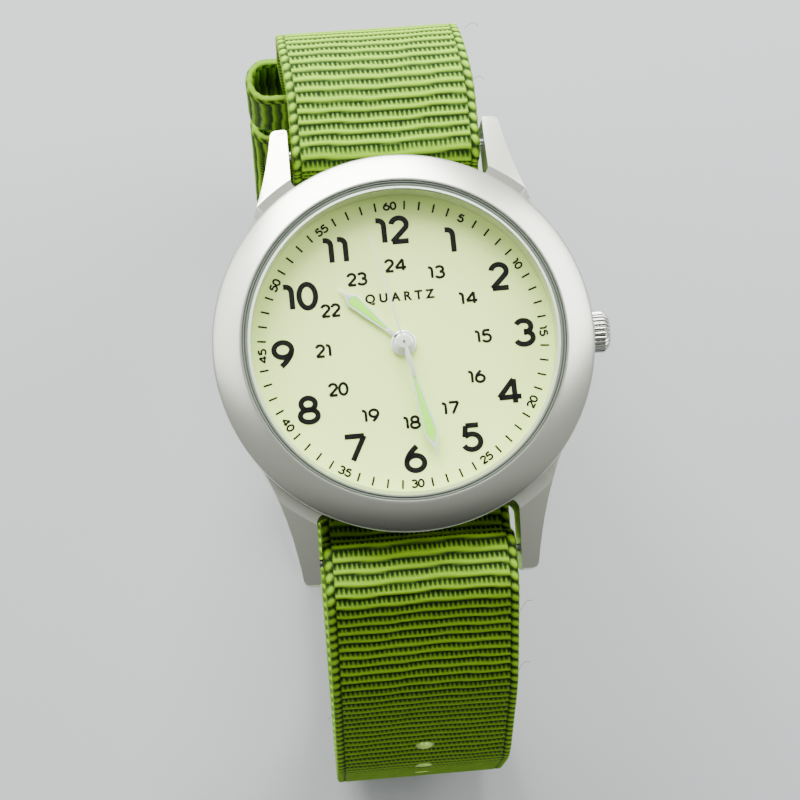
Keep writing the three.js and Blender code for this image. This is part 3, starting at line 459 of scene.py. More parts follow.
# The chamfer and rim faces take the whitish painted highlight.
for face in glass.data.polygons:
    if abs(face.normal.z) < 0.9:
        face.material_index = 1
place("crystal_gasket_look", lathe([
    (15.5, 8.67), (15.95, 8.67), (15.95, 9.72), (15.83, 9.75), (15.74, 9.55), (15.66, 9.75), (15.5, 9.72),
], 256, 0.03), LOOKS["gasket_grey"], "gasket_grey", ROOT, "crystal_gasket")
place("rehaut_ring_look", lathe([(15.2, 6.9), (15.8, 6.9), (15.8, 8.6), (15.35, 8.6)], 256, 0.04),
      LOOKS["reflector_ring"], "reflector_ring", ROOT, "rehaut_ring")
place("caseback_look", lathe([
    (0, 1.62), (12.6, 1.62), (12.75, 1.5), (13.9, 1.5), (14.05, 1.6), (14.3, 1.6), (14.45, 1.5),
    (15.9, 1.5), (16.4, 1.8), (16.4, 2.3), (14.6, 2.3), (14.6, 3.4), (14.1, 3.4), (14.1, 2.25), (0, 2.25),
], 256, 0.06), LOOKS["polished_steel"], "polished_steel", ROOT, "caseback")


def crown():
    """A knurled grip with 26 flutes, chamfered to a flat end."""
    def flute(angle, radius, height):
        if radius < 1.9 or not 19.2 < height < 20.6:
            return 1
        wave = abs(math.cos(13 * angle)) ** 0.8
        return 1 - 0.12 * (1 - wave)

    rim = [(2.1, 19.15 + 0.09 * k) for k in range(14)]
    profile = [(0, 18.95), (1.1, 18.95), (1.95, 18.9), (2.02, 19.02)] + rim
    profile += [(2.06, 20.4), (1.95, 20.52), (1.62, 20.85), (1.52, 20.9), (0, 20.9)]
    return along_x(lathe(profile, 416, 0, flute), 0, STEM_Z)


place("crown_look", crown(), LOOKS["polished_steel"], "polished_steel",
      "crown_and_stem", "crown", smooth=50)


def spring_bar(y):
    half = [(0, 0), (0.75, 0), (0.75, 8.6), (0.62, 8.7), (0.62, 9.1), (0.75, 9.2), (0.75, 9.6), (0.65, 9.7),
            (0.4, 9.7), (0.4, 10.8), (0.3, 10.9), (0, 10.9)]
    outline = half + [(r, -z) for r, z in reversed(half[1:-1])] + [(0, -10.9)]
    outline.insert(0, outline.pop())
    return along_x(lathe(outline, 40, 0.04), y, BAR_Z)


for clock, y in ((12, BAR_Y), (6, -BAR_Y)):
    place(f"spring_bar_{clock}_look", spring_bar(y), LOOKS["plain_steel"], "plain_steel",
          ROOT, f"spring_bar_{clock}")


# ---- Dial and its print ----

place("dial_look", lathe([(0.85, 6.45), (15.6, 6.45), (15.6, DIAL_TOP), (0.85, DIAL_TOP)], 256, 0.03),
      LOOKS["dial_paint"], "dial_paint", ROOT, "dial")


def arc(x, y, across, up, start, end):
    """Points along an ellipse's arc, angles in degrees."""
    steps = max(2, round(abs(end - start) / 9))
    angles = [math.radians(start + (end - start) * k / steps) for k in range(steps + 1)]
    return [(x + across * math.cos(a), y + up * math.sin(a)) for a in angles]


# Each digit's width and strokes in a box one unit tall.
BOWL = arc(0.33, 0.31, 0.3, 0.31, 0, 360)
SIX_BACK = bend((0.035, 0.36), (0.06, 0.66), (0.42, 1.0))
DIGITS = {
    "0": (0.6, [arc(0.3, 0.5, 0.28, 0.5, 0, 360)]),
    "1": (0.36, [bend((0, 0.96), (0.23, 0.98), (0.26, 0.74), 6) + [(0.26, 0)]]),
    "2": (0.58, [arc(0.29, 0.72, 0.26, 0.28, 172, -32) + [(0.02, 0)], [(0.02, 0), (0.58, 0)]]),
    "3": (0.62, [arc(0.3, 0.745, 0.26, 0.255, 155, -90), arc(0.3, 0.27, 0.3, 0.27, 90, -160)]),
    "4": (0.78, [[(0.56, 0), (0.56, 1)], [(0.56, 1), (0.02, 0.26)], [(0.02, 0.26), (0.78, 0.26)]]),
    "5": (0.62, [[(0.57, 1), (0.13, 1)], [(0.13, 1), (0.08, 0.53)], arc(0.3, 0.32, 0.3, 0.32, 138, -155)]),
    "6": (0.66, [BOWL, SIX_BACK]),
    "7": (0.7, [[(0.02, 1), (0.68, 1)], [(0.68, 1), (0.24, 0)]]),
    "8": (0.62, [arc(0.31, 0.75, 0.24, 0.25, 0, 360), arc(0.31, 0.26, 0.3, 0.26, 0, 360)]),
    "9": (0.66, [[(0.66 - x, 1 - y) for x, y in stroke] for stroke in (BOWL, SIX_BACK)]),
}


class Ink:
    """Thin raised print on the dial, gathered into one mesh."""

    def __init__(self):
        self.vertices = []
        self.faces = []

    def stroke(self, points, width, to_dial):
        """A ribbon of even width along points, given in the sign's own plane."""
        ring = math.dist(points[0], points[-1]) < 1e-6
        line = [Vector(p) for p in (points[:-1] if ring else points)]
        count = len(line)
        start = len(self.vertices)
        for i, here in enumerate(line):
            before = line[i - 1] if ring or i else here
            after = line[(i + 1) % count] if ring or i < count - 1 else here
            into = (here - before).normalized() if before is not here else (after - here).normalized()
            away = (after - here).normalized() if after is not here else into
            along = (into + away).normalized()
            across = Vector((-along.y, along.x)) / max(0.75, along.dot(into))
            for side in (1, -1):
                x, y = to_dial(here + across * (side * width / 2))
                self.vertices += [(x, y, DIAL_TOP - 0.01), (x, y, DIAL_TOP + 0.025)]
        last = count if ring else count - 1
        for i in range(last):
            a, b = start + 4 * i, start + 4 * ((i + 1) % count)
            self.faces += [(a + 1, b + 1, b + 3, a + 3), (a, a + 2, b + 2, b)]
            self.faces += [(a, b, b + 1, a + 1), (a + 2, a + 3, b + 3, b + 2)]
        if not ring:
            a, b = start, start + 4 * (count - 1)
            self.faces += [(a, a + 1, a + 3, a + 2), (b, b + 2, b + 3, b + 1)]

    def number(self, text, height, width, x, y, turn):
        """A number centred on a point of the dial, turned by an angle in degrees."""
        gap = 0.13
        total = sum(DIGITS[d][0] for d in text) + gap * (len(text) - 1)
        left = -total / 2
        cos, sin = math.cos(math.radians(turn)), math.sin(math.radians(turn))
        shrink = 1 - width / height

        def to_dial(p):
            return x + p[0] * cos - p[1] * sin, y + p[0] * sin + p[1] * cos

        for digit in text:
            size, strokes = DIGITS[digit]
            for stroke in strokes:
                here = [((px + left) * height, (py - 0.5) * height * shrink) for px, py in stroke]
                self.stroke(here, width, to_dial)
            left += size + gap

    def mesh(self):
        return mesh_of(self.vertices, self.faces, 1e-6)


def on_dial(radius, clock_degrees):
    angle = math.radians(90 - clock_degrees + PRINT_TURN)
    return radius * math.cos(angle), radius * math.sin(angle)


# The narrow hour numbers stand a little further out than the wide ones.
HOUR_RADII = {2: 11.85, 3: 12.15, 9: 12.05, 10: 11.35}
hours, afternoon, minutes = Ink(), Ink(), Ink()
for hour in range(1, 13):
    hours.number(str(hour), 2.95, 0.54, *on_dial(HOUR_RADII.get(hour, 11.6), 30 * hour), PRINT_TURN)
    afternoon.number(str(hour + 12), 1.42, 0.275, *on_dial(8.0, 30 * hour), PRINT_TURN)
for minute in range(1, 61):
    turn = -6 * minute + PRINT_TURN
    if minute % 5 == 0:
        inward = 180 if 15 < minute < 45 else 0
        minutes.number(str(minute), 0.9, 0.195, *on_dial(14.1, 6 * minute), turn + inward)
        continue
    ends = [on_dial(radius, 6 * minute) for radius in (13.7, 14.6)]
    minutes.stroke(ends, 0.19, lambda p: (p[0], p[1]))
for name, ink in (("hours", hours), ("afternoon", afternoon), ("minutes", minutes)):
    place(f"dial_print_{name}", ink.mesh(), PRINT_INK, None, ROOT, weighted=False)


def word(text, size, x, y, spacing):
    """A plain printed word in the built-in typeface."""
    letters = bpy.data.curves.new("letters", "FONT")
    letters.body = text
    letters.size = size
    letters.align_x = "CENTER"
    letters.align_y = "CENTER"
    letters.space_character = spacing
    letters.extrude = 0.015
    letters.offset = 0.05
    made = thing(letters)
    mesh = settled(made)
    return shifted(turned(mesh, PRINT_TURN, "Z"), x, y, DIAL_TOP + 0.01)


place("dial_print_word", word("QUARTZ", 1.25, 0, 4.75, 1.6), PRINT_INK, None, ROOT, weighted=False)


# ---- Hands ----

def blade(length, neck, shoulder, width):
    half = width / 2
    right = [(0.25, -0.4), (0.2, neck), (half, shoulder), (0.1, length - 0.9), (0.05, length)]
    return right + [(-x, y) for x, y in reversed(right)]


def window(length, neck, shoulder, width, room):
    half = width / 2 + room
    tip = length - 1.5
    return [(-0.07 - room, neck + 0.5 - room), (0.07 + room, neck + 0.5 - room), (half, shoulder),
            (0, tip + 2 * room), (-half, shoulder)]


def hub(radius, bore, low, high):
    outline = [(bore, low), (radius, low), (radius, high - 0.05), (radius - 0.1, high), (bore, high)]
    return lathe(outline, 96, 0.03)


def hand(name, length, neck, shoulder, width, radius, bore, low, high, body):
    opening = window(length, neck, shoulder, width - 0.42, 0.02)
    arm = prism([blade(length, neck, shoulder, width), opening], low, high)
    arm = joined(bevelled(arm, 0.03, 2, 40), prism([circle(radius - 0.3)], low - 1, high + 1), "DIFFERENCE")
    mesh = merged(arm, hub(radius, bore, low, high))
    angle = -HAND_ANGLES[name]
    place(f"{name}_hand_look", turned(mesh, angle, "Z"), LOOKS["hand_silver"], "hand_silver",
          body, f"{name}_hand")
    fill = prism([window(length, neck, shoulder, width - 0.42, 0)], low + 0.02, high + 0.02)
    paint = bevelled(fill, 0.04, 3, 40)
    place(f"{name}_lume_look", turned(paint, angle, "Z"), LOOKS["hand_lume"], "hand_lume",
          body, f"{name}_lume")


hand("hour", 8.5, 1.7, 6.7, 1.45, 1.28, 0.67, 7.08, 7.25, "hours")
hand("minute", 12, 3, 9.5, 1.4, 0.9, 0.35, 7.52, 7.7, "minutes")
needle = [(0.17, -3.5), (0.17, -0.3), (0.1, 0), (0.05, 11.5)]
needle += [(-0.05, 11.5), (-0.1, 0), (-0.17, -0.3), (-0.17, -3.3)]
second = bevelled(prism([needle], 7.98, 8.13), 0.03, 2, 40)
second = joined(second, prism([circle(0.5)], 7, 9), "DIFFERENCE")
hub_outline = [(0, 7.98), (0.68, 7.98), (0.68, 8.08), (0.6, 8.17), (0.14, 8.2), (0.12, 8.12), (0, 8.12)]
second = merged(second, lathe(hub_outline, 96))
second = turned(second, -HAND_ANGLES["second"], "Z")
place("second_hand_look", second, LOOKS["hand_silver"], "hand_silver",
      "seconds", "second_hand")


# ---- Webbing ----

def rounded_path(corners):
    """The path through [y, z, radius] corners as closely spaced points."""
    points = [Vector(corners[0][:2])]
    for i in range(1, len(corners) - 1):
        here, radius = Vector(corners[i][:2]), corners[i][2]
        back = (Vector(corners[i - 1][:2]) - here).normalized()
        ahead = (Vector(corners[i + 1][:2]) - here).normalized()
        half = math.acos(max(-1, min(1, back.dot(ahead)))) / 2
        centre = here + (back + ahead).normalized() * (radius / math.sin(half))
        setback = radius / math.tan(half)
        start, end = here + back * setback - centre, here + ahead * setback - centre
        sweep = math.atan2(start.x * end.y - start.y * end.x, start.dot(end))
        steps = max(3, math.ceil(abs(sweep) * radius / ARC_STEP))
        for k in range(steps + 1):
            points.append(centre + Matrix.Rotation(sweep * k / steps, 2) @ start)
    points.append(Vector(corners[-1][:2]))
    return np.array([tuple(p) for p in points])


def respaced(points, spacing, closed=False):
    """Evenly spaced points and their tangents, with the distance along the path of each."""
    if closed:
        points = np.vstack([points, points[:1]])
    lengths = np.r_[0, np.cumsum(np.hypot(*np.diff(points, axis=0).T))]
    keep = np.r_[True, np.diff(lengths) > 1e-6]
    points, lengths = points[keep], lengths[keep]
    count = max(8, round(lengths[-1] / spacing))
    along = np.linspace(0, lengths[-1], count + 1)
    if closed:
        along = along[:-1]
    at = np.stack([np.interp(along, lengths, points[:, i]) for i in (0, 1)], 1)
    if closed:
        tangent = np.roll(at, -1, 0) - np.roll(at, 1, 0)
    else:
        tangent = np.gradient(at, axis=0)
    tangent /= np.hypot(*tangent.T)[:, None]
    return at, tangent, along, lengths[-1]


def weave(along, across, half_width, pitch, seed, combs):
    """The webbing's height, 0 in the grooves to 1 on the ribs: each rib is a smooth cord between
    braided edges, and combs adds pointed threads on the side the path comes from."""
    rng = np.random.default_rng(seed)
    s = along[:, None] / pitch
    x = across[None, :]
    drift = 0.09 * np.sin(0.42 * x + 0.05 * s) + 0.04 * np.sin(1.3 * x + 0.9 * s)
    row = np.floor(s + drift).astype(int)
    u = s + drift - row
    threads = x / THREAD_PITCH + 0.5 * (row % 2)
    column = np.floor(threads).astype(int)
    wander = rng.normal(0, 0.05, 499)
    v = threads - column - 0.5 + wander[(column * 7 + row * 31) % 499]
    start = 0.1 * rng.random(499)[(column * 13 + row * 17) % 499]
    swell = 0.21 + 0.08 * rng.random(499)[row % 499]
    cord = np.sqrt(np.clip(1 - ((u - 0.68) / swell) ** 2, 0, 1))
    rise = np.clip((u - start) / 0.45, 0, 1)
    thread = np.clip(1 - np.abs(v) / (0.14 + 0.4 * rise), 0, 1) ** 0.6 if combs else 0.7
    thread = thread * np.clip(u / 0.12, 0, 1)
    height = np.maximum(cord, 0.84 * thread * (u < 0.7))
    edge = half_width - np.abs(x)
    e = edge / BRAID_WIDTH
    loop = (s + 0.35 * e + 0.2) % 1
    size = np.clip(1 - ((e - 0.45) / 0.55) ** 2, 0, 1)
    leaf = np.sqrt(np.clip(1 - ((loop - 0.5) / (0.08 + 0.34 * size)) ** 2, 0, 1)) * np.sqrt(size)
    rim = 0.75 * np.clip(1 - np.abs(e) / 0.25, 0, 1)
    return np.where(e < 1, np.maximum(leaf, rim), height)


def webbing(spine, half_width, half_thick, rib, holes=(), closed=False, pitch=RIB_PITCH, seed=1):
    """A band of webbing along a spine from respaced(). Its points are (across, first plane coordinate,
    second plane coordinate). Each hole is a slot from s0 to s1 along the band, ended by half circles."""
    at, tangent, along, _ = spine
    out = np.stack([tangent[:, 1], -tangent[:, 0]], 1)
    columns = int(2 * half_width / (THREAD_PITCH / 4)) | 1
    inner = np.linspace(-half_width + 0.12, half_width - 0.12, columns)
    lip = np.array([0.0, 0.03, 0.07])
    across_top = np.r_[-half_width + lip, inner, half_width - lip[::-1]]
    flank = np.linspace(half_width - 0.12, 1.72, int((half_width - 1.84) / 0.5) + 2)
    middle = np.linspace(1.6, -1.6, 27) if holes else np.linspace(1.2, -1.2, 5)
    across_low = np.r_[half_width - lip[1:], flank, middle, -flank[::-1], (-half_width + lip[1:])[::-1]]

    def shell(across, side, detail):
        edge = half_width - np.abs(across)
        round_off = np.sqrt(np.clip(1 - (1 - np.clip(edge / 0.3, 0, 1)) ** 2, 0, 1))
        pattern = weave(along, across, half_width, pitch, seed, side > 0)
        lift = half_thick * round_off[None, :] + rib * detail * pattern * round_off[None, :]
        bulge = 0.05 * (0.5 + 0.5 * np.sin(2 * math.pi * along / pitch))[:, None]
        spread = np.sign(across)[None, :] * bulge * np.clip(1 - edge / 0.8, 0, 1)[None, :]
        x = np.broadcast_to(across[None, :], pattern.shape) + spread
        return x, side * lift, pattern

    top_x, top_h, top_w = shell(across_top, 1, 1.0)
    low_x, low_h, low_w = shell(across_low, -1, 0.7)
    x = np.hstack([top_x, low_x])
    h = np.hstack([top_h, low_h])
    w = np.hstack([top_w, low_w])
    rows, cols = x.shape
    plane = at[:, None, :] + out[:, None, :] * h[:, :, None]
    points = np.concatenate([x[:, :, None], plane], 2).reshape(-1, 3)
    keep = np.ones((rows, cols), bool)
    for s0, s1, radius in holes:
        s = along[:, None]
        outside = np.maximum(np.maximum(s0 - s, s - s1), 0)
        keep &= np.hypot(outside, x) > radius
    last = rows if closed else rows - 1
    i = np.arange(last)[:, None]
    k = np.arange(cols)[None, :]
    n, m = (i + 1) % rows, (k + 1) % cols
    quads = np.stack([i * cols + k, i * cols + m, n * cols + m, n * cols + k], 2)
    good = keep[i, k] & keep[i, m] & keep[n, m] & keep[n, k]
    faces = [tuple(f) for f in quads[good].tolist()]
    # Each point's weave height, kept for the material's painted groove shade.
    shade = w.reshape(-1)
    if not closed:
        for row in (0, rows - 1):
            ring = row * cols + np.arange(cols)
            centre = len(points)
            points = np.vstack([points, points[ring].mean(0)])
            shade = np.r_[shade, 0.5]
            fan = np.stack([ring, np.roll(ring, -1), np.full(cols, centre)], 1)
            faces += [tuple(f) for f in fan.tolist()]
    return points, faces, shade


def webbing_mesh(points, faces, shade):
    mesh = bpy.data.meshes.new("made")
    mesh.from_pydata(points.tolist(), [], faces)
    # The weave height goes to the material, which paints shade into the grooves from it.
    weave_height_for_shade = mesh.attributes.new("weave", "FLOAT", "POINT")
    weave_height_for_shade.data.foreach_set("value", shade.astype(np.float32))
    work = bmesh.new()
    work.from_mesh(mesh)
    loose = [v for v in work.verts if not v.link_faces]
    bmesh.ops.delete(work, geom=loose, context="VERTS")
    bmesh.ops.recalc_face_normals(work, faces=work.faces)
    work.to_mesh(mesh)
    work.free()
    return mesh


STRAP_CORNERS = [
    (-4.6, -47.95, 0), (-8, -47.25, 3), (-9.84, -47.25, 1.3), (-9.84, -49.93, 1.3), (-8, -49.93, 2),
    (-5.4, -49, 3), (SIDE_WALL, -49, 17), (SIDE_WALL, 4.7, 10), (19.6, 4.7, 1.4), (19.6, 0.55, 1.4),
    (-19.6, 0.55, 1.4), (-19.6, 4.7, 1.4), (-24.3, 4.7, 5), (-34, -5.3, 16), (-42.1, -22, 21),
    (-44, -36, 15), (-40.5, -49.7, 11), (-15.8, -49.85, 4), (-9.5, -51.2, 5), (-5, -51.2, 5),
    (0, -50.45, 5), (SIDE_WALL + 1.45, -50.45, 18.45), (SIDE_WALL + 1.45, -18, 0),
]


def distances_at(spine, y, low, high):
    """Distances along the path where it crosses y between two heights."""
    at, _, along, _ = spine
    inside = (at[:-1, 1] > low) & (at[:-1, 1] < high)
    cross = (at[:-1, 0] - y) * (at[1:, 0] - y) <= 0
    return along[:-1][inside & cross]


strap_spine = respaced(rounded_path(STRAP_CORNERS), ROW_STEP)
tongue_at = distances_at(strap_spine, TONGUE_HOLE_Y, -52, -49.5)[-1]
round_holes = [tongue_at + HOLE_PITCH * k for k in range(-9, 3) if k]
holes = [(s, s, HOLE_RADIUS) for s in round_holes]
holes.append((tongue_at - 1.95, tongue_at + 2.05, HOLE_RADIUS))
wrap = strap_spine[2][(strap_spine[0][:, 0] < -7.4) & (strap_spine[2] < 15)]
holes.append((wrap.min(), wrap.max(), 0.95))
strap_points, strap_faces, strap_shade = webbing(
    strap_spine, STRAP_WIDTH / 2, STRAP_HALF, RIB_HEIGHT * 0.85, holes, seed=3)
lean = np.clip((strap_points[:, 1] - 25) / 11, 0, 1) * np.clip((strap_points[:, 2] + 30) / 20, 0, 1)
strap_points[:, 0] -= 0.7 * lean * lean * (3 - 2 * lean)
strap_mesh = webbing_mesh(strap_points, strap_faces, strap_shade)
place("strap_look", strap_mesh, LOOKS["strap_nylon"], "strap_nylon",
      ROOT, "strap", smooth=80, weighted=False)


def strap_point(distance, across, lift):
    """A point of the strap by its distance along, across and off the middle."""
    at, tangent, along, _ = strap_spine
    y, z = (np.interp(distance, along, at[:, i]) for i in (0, 1))
    ty, tz = (np.interp(distance, along, tangent[:, i]) for i in (0, 1))
    return across, y + tz * lift, z - ty * lift


def hole_rim(s0, s1, radius):
    """The heat-sealed lining of a hole through the strap."""
    lift = 0.5
    outline = []
    for start, end in ((0, s1), (math.pi, s0)):
        for a in np.linspace(start, start + math.pi, 19):
            outline.append((radius * math.cos(a), end + radius * math.sin(a)))
    section = [(-0.08, -lift), (0, -lift - 0.04), (0.12, -lift), (0.2, -lift + 0.1), (0.2, lift - 0.1),
               (0.12, lift), (0, lift + 0.04), (-0.08, lift)]
    vertices = []
    for x, s in outline:
        direction = Vector((x, s - min(max(s, s0), s1))).normalized()
        for off, up in section:
            vertices.append(strap_point(s + direction.y * off, x + direction.x * off, up))
    count, size = len(outline), len(section)
    faces = []
    for i in range(count):
        for k in range(size):
            a, b = i * size, (i + 1) % count * size
            n = (k + 1) % size
            faces.append((a + k, b + k, b + n, a + n))
    return mesh_of(vertices, faces)


rims = [hole_rim(*hole) for hole in holes]
# The linings carry the pale painted highlight of the holes.
place("strap_hole_rims", merged(*rims), MELTED_PAINTED_HIGHLIGHT, "strap_nylon", ROOT, smooth=50, weighted=False)


def capsule(start, end, radius):
    """One stitch or fibre between two points."""
    start, end = Vector(start), Vector(end)
    axis = end - start
    vertices, faces = [], []
    frame_of = axis.to_track_quat("Z", "Y").to_matrix()
    rings = [(0, 0.35), (0.12, 0.8), (0.3, 1), (0.7, 1), (0.88, 0.8), (1, 0.35)]
    for t, size in rings:
        for k in range(8):
            a = math.pi * k / 4
            offset = frame_of @ Vector((radius * size * math.cos(a), radius * size * math.sin(a), 0))
            vertices.append(start + axis * t + offset)
    for i in range(len(rings) - 1):
        for k in range(8):
            n = (k + 1) % 8
            faces.append((8 * i + k, 8 * i + n, 8 * i + 8 + n, 8 * i + 8 + k))
    faces += [tuple(range(8)), tuple(range(8 * len(rings) - 8, 8 * len(rings)))]
    return vertices, faces


def many(parts):
    vertices, faces = [], []
    for some, links in parts:
        start = len(vertices)
        vertices += [tuple(v) for v in some]
        faces += [tuple(i + start for i in link) for link in links]
    return mesh_of(vertices, faces, 1e-6)


# The rows of stitches that hold the folded end and the fixed keeper, on the wrist side.
stitches = []
for column in range(-11, 12):
    x = column * 0.78
    for y, z in ((-6.3, -47.33), (-5.2, -47.33), (7.4, -48.42), (14.6, -48.42)):
        stitches.append(capsule((x - 0.28, y, z), (x + 0.28, y, z), STITCH_RADIUS))
place("strap_stitches", many(stitches), STITCH, "strap_nylon", ROOT, smooth=80, weighted=False)


def fibre(points):
    line = [Vector(p) for p in points]
    return [capsule(line[i], line[i + 1], FIBRE_RADIUS) for i in range(len(line) - 1)]


fibres = []
for x, y, z, reach, side in (
    (9.4, 20.2, 4.9, 2.6, 1), (9.4, 21.6, 5.1, 1.8, 1), (9.45, 27, 5.2, 1.2, 1),
    (-9.4, 22.4, 5.1, 2.2, -1), (-9.45, 30, 4.6, 1.0, -1), (9.45, 33.5, 2.6, 1.4, 1),
    (9.45, -27.4, 4.4, 1.3, 1), (-9.45, -23, 5.0, 1.1, -1), (9.3, -33.1, -0.6, 1.2, 1),
    (-9.3, -36.4, -7, 1.0, -1),
):
    lean = random.uniform(-0.5, 0.8)
    points = []
    for t in (0, 0.2, 0.4, 0.6, 0.8, 1):
        curl = lean * t + 0.35 * math.sin(3 * t)
        points.append((x + side * reach * t, y + reach * curl, z + 0.5 * reach * t * (1 - t) + 0.1))
    fibres += fibre(points)
place("strap_fibres", many(fibres), LOOKS["strap_nylon"], "strap_nylon", ROOT, smooth=80, weighted=False)


# ---- Keepers ----

def keeper_band(gap, length, seed, to_space):
    """A keeper's webbing loop round the strap. to_space maps (across the strap, off the loop's middle,
    along the strap) to a point."""
    thick = 0.4
    half, height = KEEPER_HALF, gap / 2 + 0.43
    corners = [(half, -height), (half, height), (-half, height), (-half, -height)]
    radius = height * 0.97
    path = []
    for i, corner in enumerate(corners):
        cx = corner[0] - math.copysign(radius, corner[0])
        cz = corner[1] - math.copysign(radius, corner[1])
        start = -90 + 90 * i
        for k in range(13):
            angle = math.radians(start + 90 * k / 12)
            path.append((cx + radius * math.cos(angle), cz + radius * math.sin(angle)))
    spine = respaced(np.array(path), ROW_STEP, closed=True)
    ribs = round(spine[3] / RIB_PITCH)
    points, faces, shade = webbing(
        spine, length / 2, thick, RIB_HEIGHT * 0.4, closed=True, pitch=spine[3] / ribs, seed=seed)
    spaced = [to_space(p[1], p[2], p[0]) for p in points]
    return webbing_mesh(np.array(spaced), faces, shade)


def fixed_place(x, off, along):
    return x + KEEPER_SHIFT, FIXED_KEEPER_Y + along, KEEPER_Z + off


def end_place(x, off, along):
    return x + KEEPER_SHIFT, SIDE_WALL + 0.75 - off, END_KEEPER_Z + along


def middle_place(x, off, along):
    """The middle keeper bends with the strap round the end of the loop."""
    radius = BEND_RADIUS - off
    angle = along / BEND_RADIUS - math.radians(MIDDLE_KEEPER_TURN)
    y, z = SIDE_WALL - 17 + radius * math.cos(angle), BEND_Z + radius * math.sin(angle)
    return x + KEEPER_SHIFT, y, z


for name, gap, length, to_space, body, seed in (
    ("keeper_fixed", 2.9, 9, fixed_place, ROOT, 11),
    ("keeper_middle", 3.5, 13.3, middle_place, "middle_keeper", 12),
    ("keeper_end", 3.5, 12.5, end_place, "end_keeper", 13),
):
    place(f"{name}_look", keeper_band(gap, length, seed, to_space), LOOKS["strap_nylon"], "strap_nylon",
          body, name, smooth=80, weighted=False)


# ---- Buckle ----

def buckle_frame():
    arm = [(-17.6, -50.55), (-17.6, FLOOR_Z), (-15.6, FLOOR_Z), (-9, -49.9)]
    arm += [(-7.2, -49.3), (-7.2, -47.6), (-9.5, -47.5)]
    foot = [(-17.6, FLOOR_Z), (-15.6, FLOOR_Z), (-15.6, -50.55), (-17.6, -50.55)]
    mesh = bevelled(side_prism(foot, -12.1, 12.1), 0.45, 4)
    for side in (1, -1):
        low, high = sorted((side * 10.3, side * 12.1))
        mesh = joined(mesh, bevelled(side_prism(arm, low, high), 0.4, 4), "UNION")
    hole = along_x(lathe([(0, -20), (0.45, -20), (0.45, 20), (0, 20)], 32), BUCKLE_Y, BUCKLE_Z)
    mesh = joined(mesh, hole, "DIFFERENCE")
    notch = [(-19, -54), (-14, -54), (-14, -50.95), (-19, -50.95)]
    return joined(mesh, bevelled(side_prism(notch, -0.85, 0.85), 0.2, 3), "DIFFERENCE")


place("buckle_frame_look", buckle_frame(), LOOKS["polished_steel"], "polished_steel",
      "buckle", "buckle_frame")
bar_half = [(0.7, 0), (0.7, 9.9), (0.6, 10), (0.4, 10), (0.4, 11.72), (0.32, 11.8), (0, 11.8)]
bar_outline = [(0, -11.8)] + [(r, -z) for r, z in reversed(bar_half[1:-1])] + bar_half[1:]
bar = along_x(lathe(bar_outline, 40), BUCKLE_Y, BUCKLE_Z)
place("buckle_bar_look", bar, LOOKS["plain_steel"], "plain_steel", "buckle", "buckle_bar")


def rod_along(path, half_width, half_thick):
    """A smooth flattened rod along points [y, z], its section a rounded rectangle."""
    corner = 0.18
    at, tangent, _, _ = respaced(np.array(path), 0.15)
    section = []
    for sx, sy, start in ((1, 1, 0), (-1, 1, 90), (-1, -1, 180), (1, -1, 270)):
        for k in range(5):
            a = math.radians(start + 22.5 * k)
            section.append((sx * (half_width - corner) + corner * math.cos(a),
                            sy * (half_thick - corner) + corner * math.sin(a)))
    vertices, faces = [], []
    count, size = len(at), len(section)
    for i, ((y, z), (ty, tz)) in enumerate(zip(at, tangent)):
        end = min(i, count - 1 - i)
        shrink = (0.55, 0.85, 1.0)[min(end, 2)]
        for x, h in section:
            vertices.append((x * shrink, y + tz * h * shrink, z - ty * h * shrink))
    for i in range(count - 1):
        for k in range(size):
            n = (k + 1) % size
            faces.append((i * size + k, i * size + n, (i + 1) * size + n, (i + 1) * size + k))
    faces += [tuple(range(size)), tuple(range((count - 1) * size, count * size))]
    return mesh_of(vertices, faces)


def tongue_path():
    radius = 1.11
    points = []
    for k in range(25):
        angle = math.radians(200 - 295 * k / 24)
        points.append((BUCKLE_Y + radius * math.cos(angle), BUCKLE_Z + radius * math.sin(angle)))
    points += [(-10.2, -50.15), (-12.6, -50.95), (-14, -51.35), (-15.4, -51.52), (-17.3, -51.55)]
    return points


place("buckle_tongue_look", rod_along(tongue_path(), 0.65, 0.34), LOOKS["polished_steel"], "polished_steel",
      "tongue", "buckle_tongue", smooth=60)


# ---- Floor, light and camera ----

floor = bpy.data.objects.new("floor", bpy.data.meshes.new("floor"))
floor.data.from_pydata([(-2, -2, 0), (2, -2, 0), (2, 2, 0), (-2, 2, 0)], [], [(0, 1, 2, 3)])
floor.data.materials.append(grain(material("floor", (158, 161, 163), 0.75), 300, 0.02))
floor.location.z = (FLOOR_Z - 0.07) * MM
bpy.context.scene.collection.objects.link(floor)


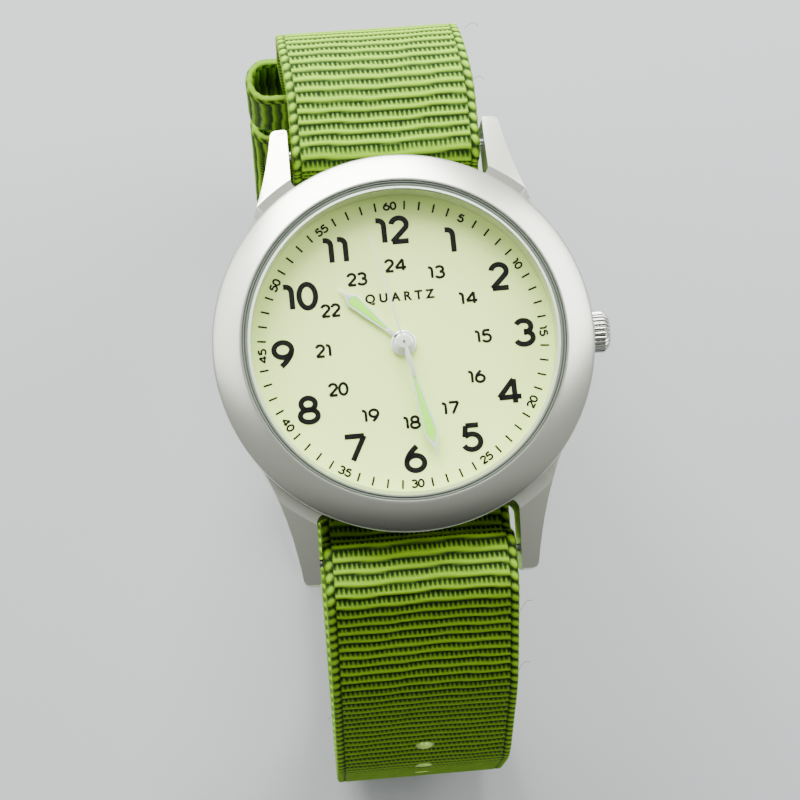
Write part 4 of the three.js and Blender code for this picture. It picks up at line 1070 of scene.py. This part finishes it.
def sky():
    """Soft studio light: bright beyond 12 o'clock, dim behind 6 o'clock, grey overhead."""
    world = bpy.data.worlds.new("studio")
    bpy.context.scene.world = world
    world.use_nodes = True
    tree = world.node_tree
    link = tree.links.new
    place_in = node(tree, "ShaderNodeTexCoord")
    split = node(tree, "ShaderNodeSeparateXYZ")
    ramp = node(tree, "ShaderNodeValToRGB")
    span = node(tree, "ShaderNodeMapRange", From_Min=-1.0, From_Max=1.0)
    link(place_in.outputs["Generated"], split.inputs["Vector"])
    link(split.outputs["Y"], span.inputs["Value"])
    link(span.outputs["Result"], ramp.inputs["Fac"])
    levels = [(-1, 0.03), (-0.8, 0.05), (-0.63, 0.29), (-0.54, 0.5), (-0.45, 0.54)]
    levels += [(0.14, 0.4), (0.5, 0.8), (0.74, 1.4), (1, 1.7)]
    stops = [((y + 1) / 2, level) for y, level in levels]
    elements = ramp.color_ramp.elements
    elements[0].position, elements[1].position = stops[0][0], stops[-1][0]
    for position, _ in stops[1:-1]:
        elements.new(position)
    for element, (_, value) in zip(elements, stops):
        element.color = (value * 0.985, value, value * 0.955, 1)
    link(ramp.outputs["Color"], tree.nodes["Background"].inputs["Color"])


def lamp(name, location, size, power):
    """A square lamp that faces the watch."""
    target = (0, 0, -0.01)
    light = bpy.data.lights.new(name, "AREA")
    light.size = size
    light.energy = power
    made = bpy.data.objects.new(name, light)
    made.location = location
    made.rotation_mode = "QUATERNION"
    made.rotation_quaternion = (Vector(target) - Vector(location)).to_track_quat("-Z", "Y")
    bpy.context.scene.collection.objects.link(made)


sky()
lamp("window", (-0.08, 0.5, 0.3), 0.45, 15.5)
lamp("left_card", (-0.5, 0.24, 0.38), 0.5, 2.8)
lamp("right_card", (0.5, 0.26, 0.38), 0.5, 5.8)

# The camera looks down almost square on the dial, from 20 cm above it.
CAMERA_TURNS = [("Z", 4.806), ("X", -8.018), ("Y", 3.035)]
CAMERA_OFFSET = Vector((-0.356, -5.65, 199.655))
CAMERA_AIM = Vector((0, 0, 6.88))
view = Matrix.Identity(3)
for axis, degrees in CAMERA_TURNS:
    view = view @ Matrix.Rotation(math.radians(degrees), 3, axis)
camera = bpy.data.objects.new("camera", bpy.data.cameras.new("camera"))
camera.data.lens = 90
camera.data.sensor_width = 36
camera.data.clip_start = 0.01
camera.data.clip_end = 20
camera_at = (CAMERA_AIM + view.transposed() @ CAMERA_OFFSET) * MM
camera.matrix_world = Matrix.Translation(camera_at) @ view.transposed().to_4x4()
bpy.context.scene.collection.objects.link(camera)
bpy.context.scene.camera = camera
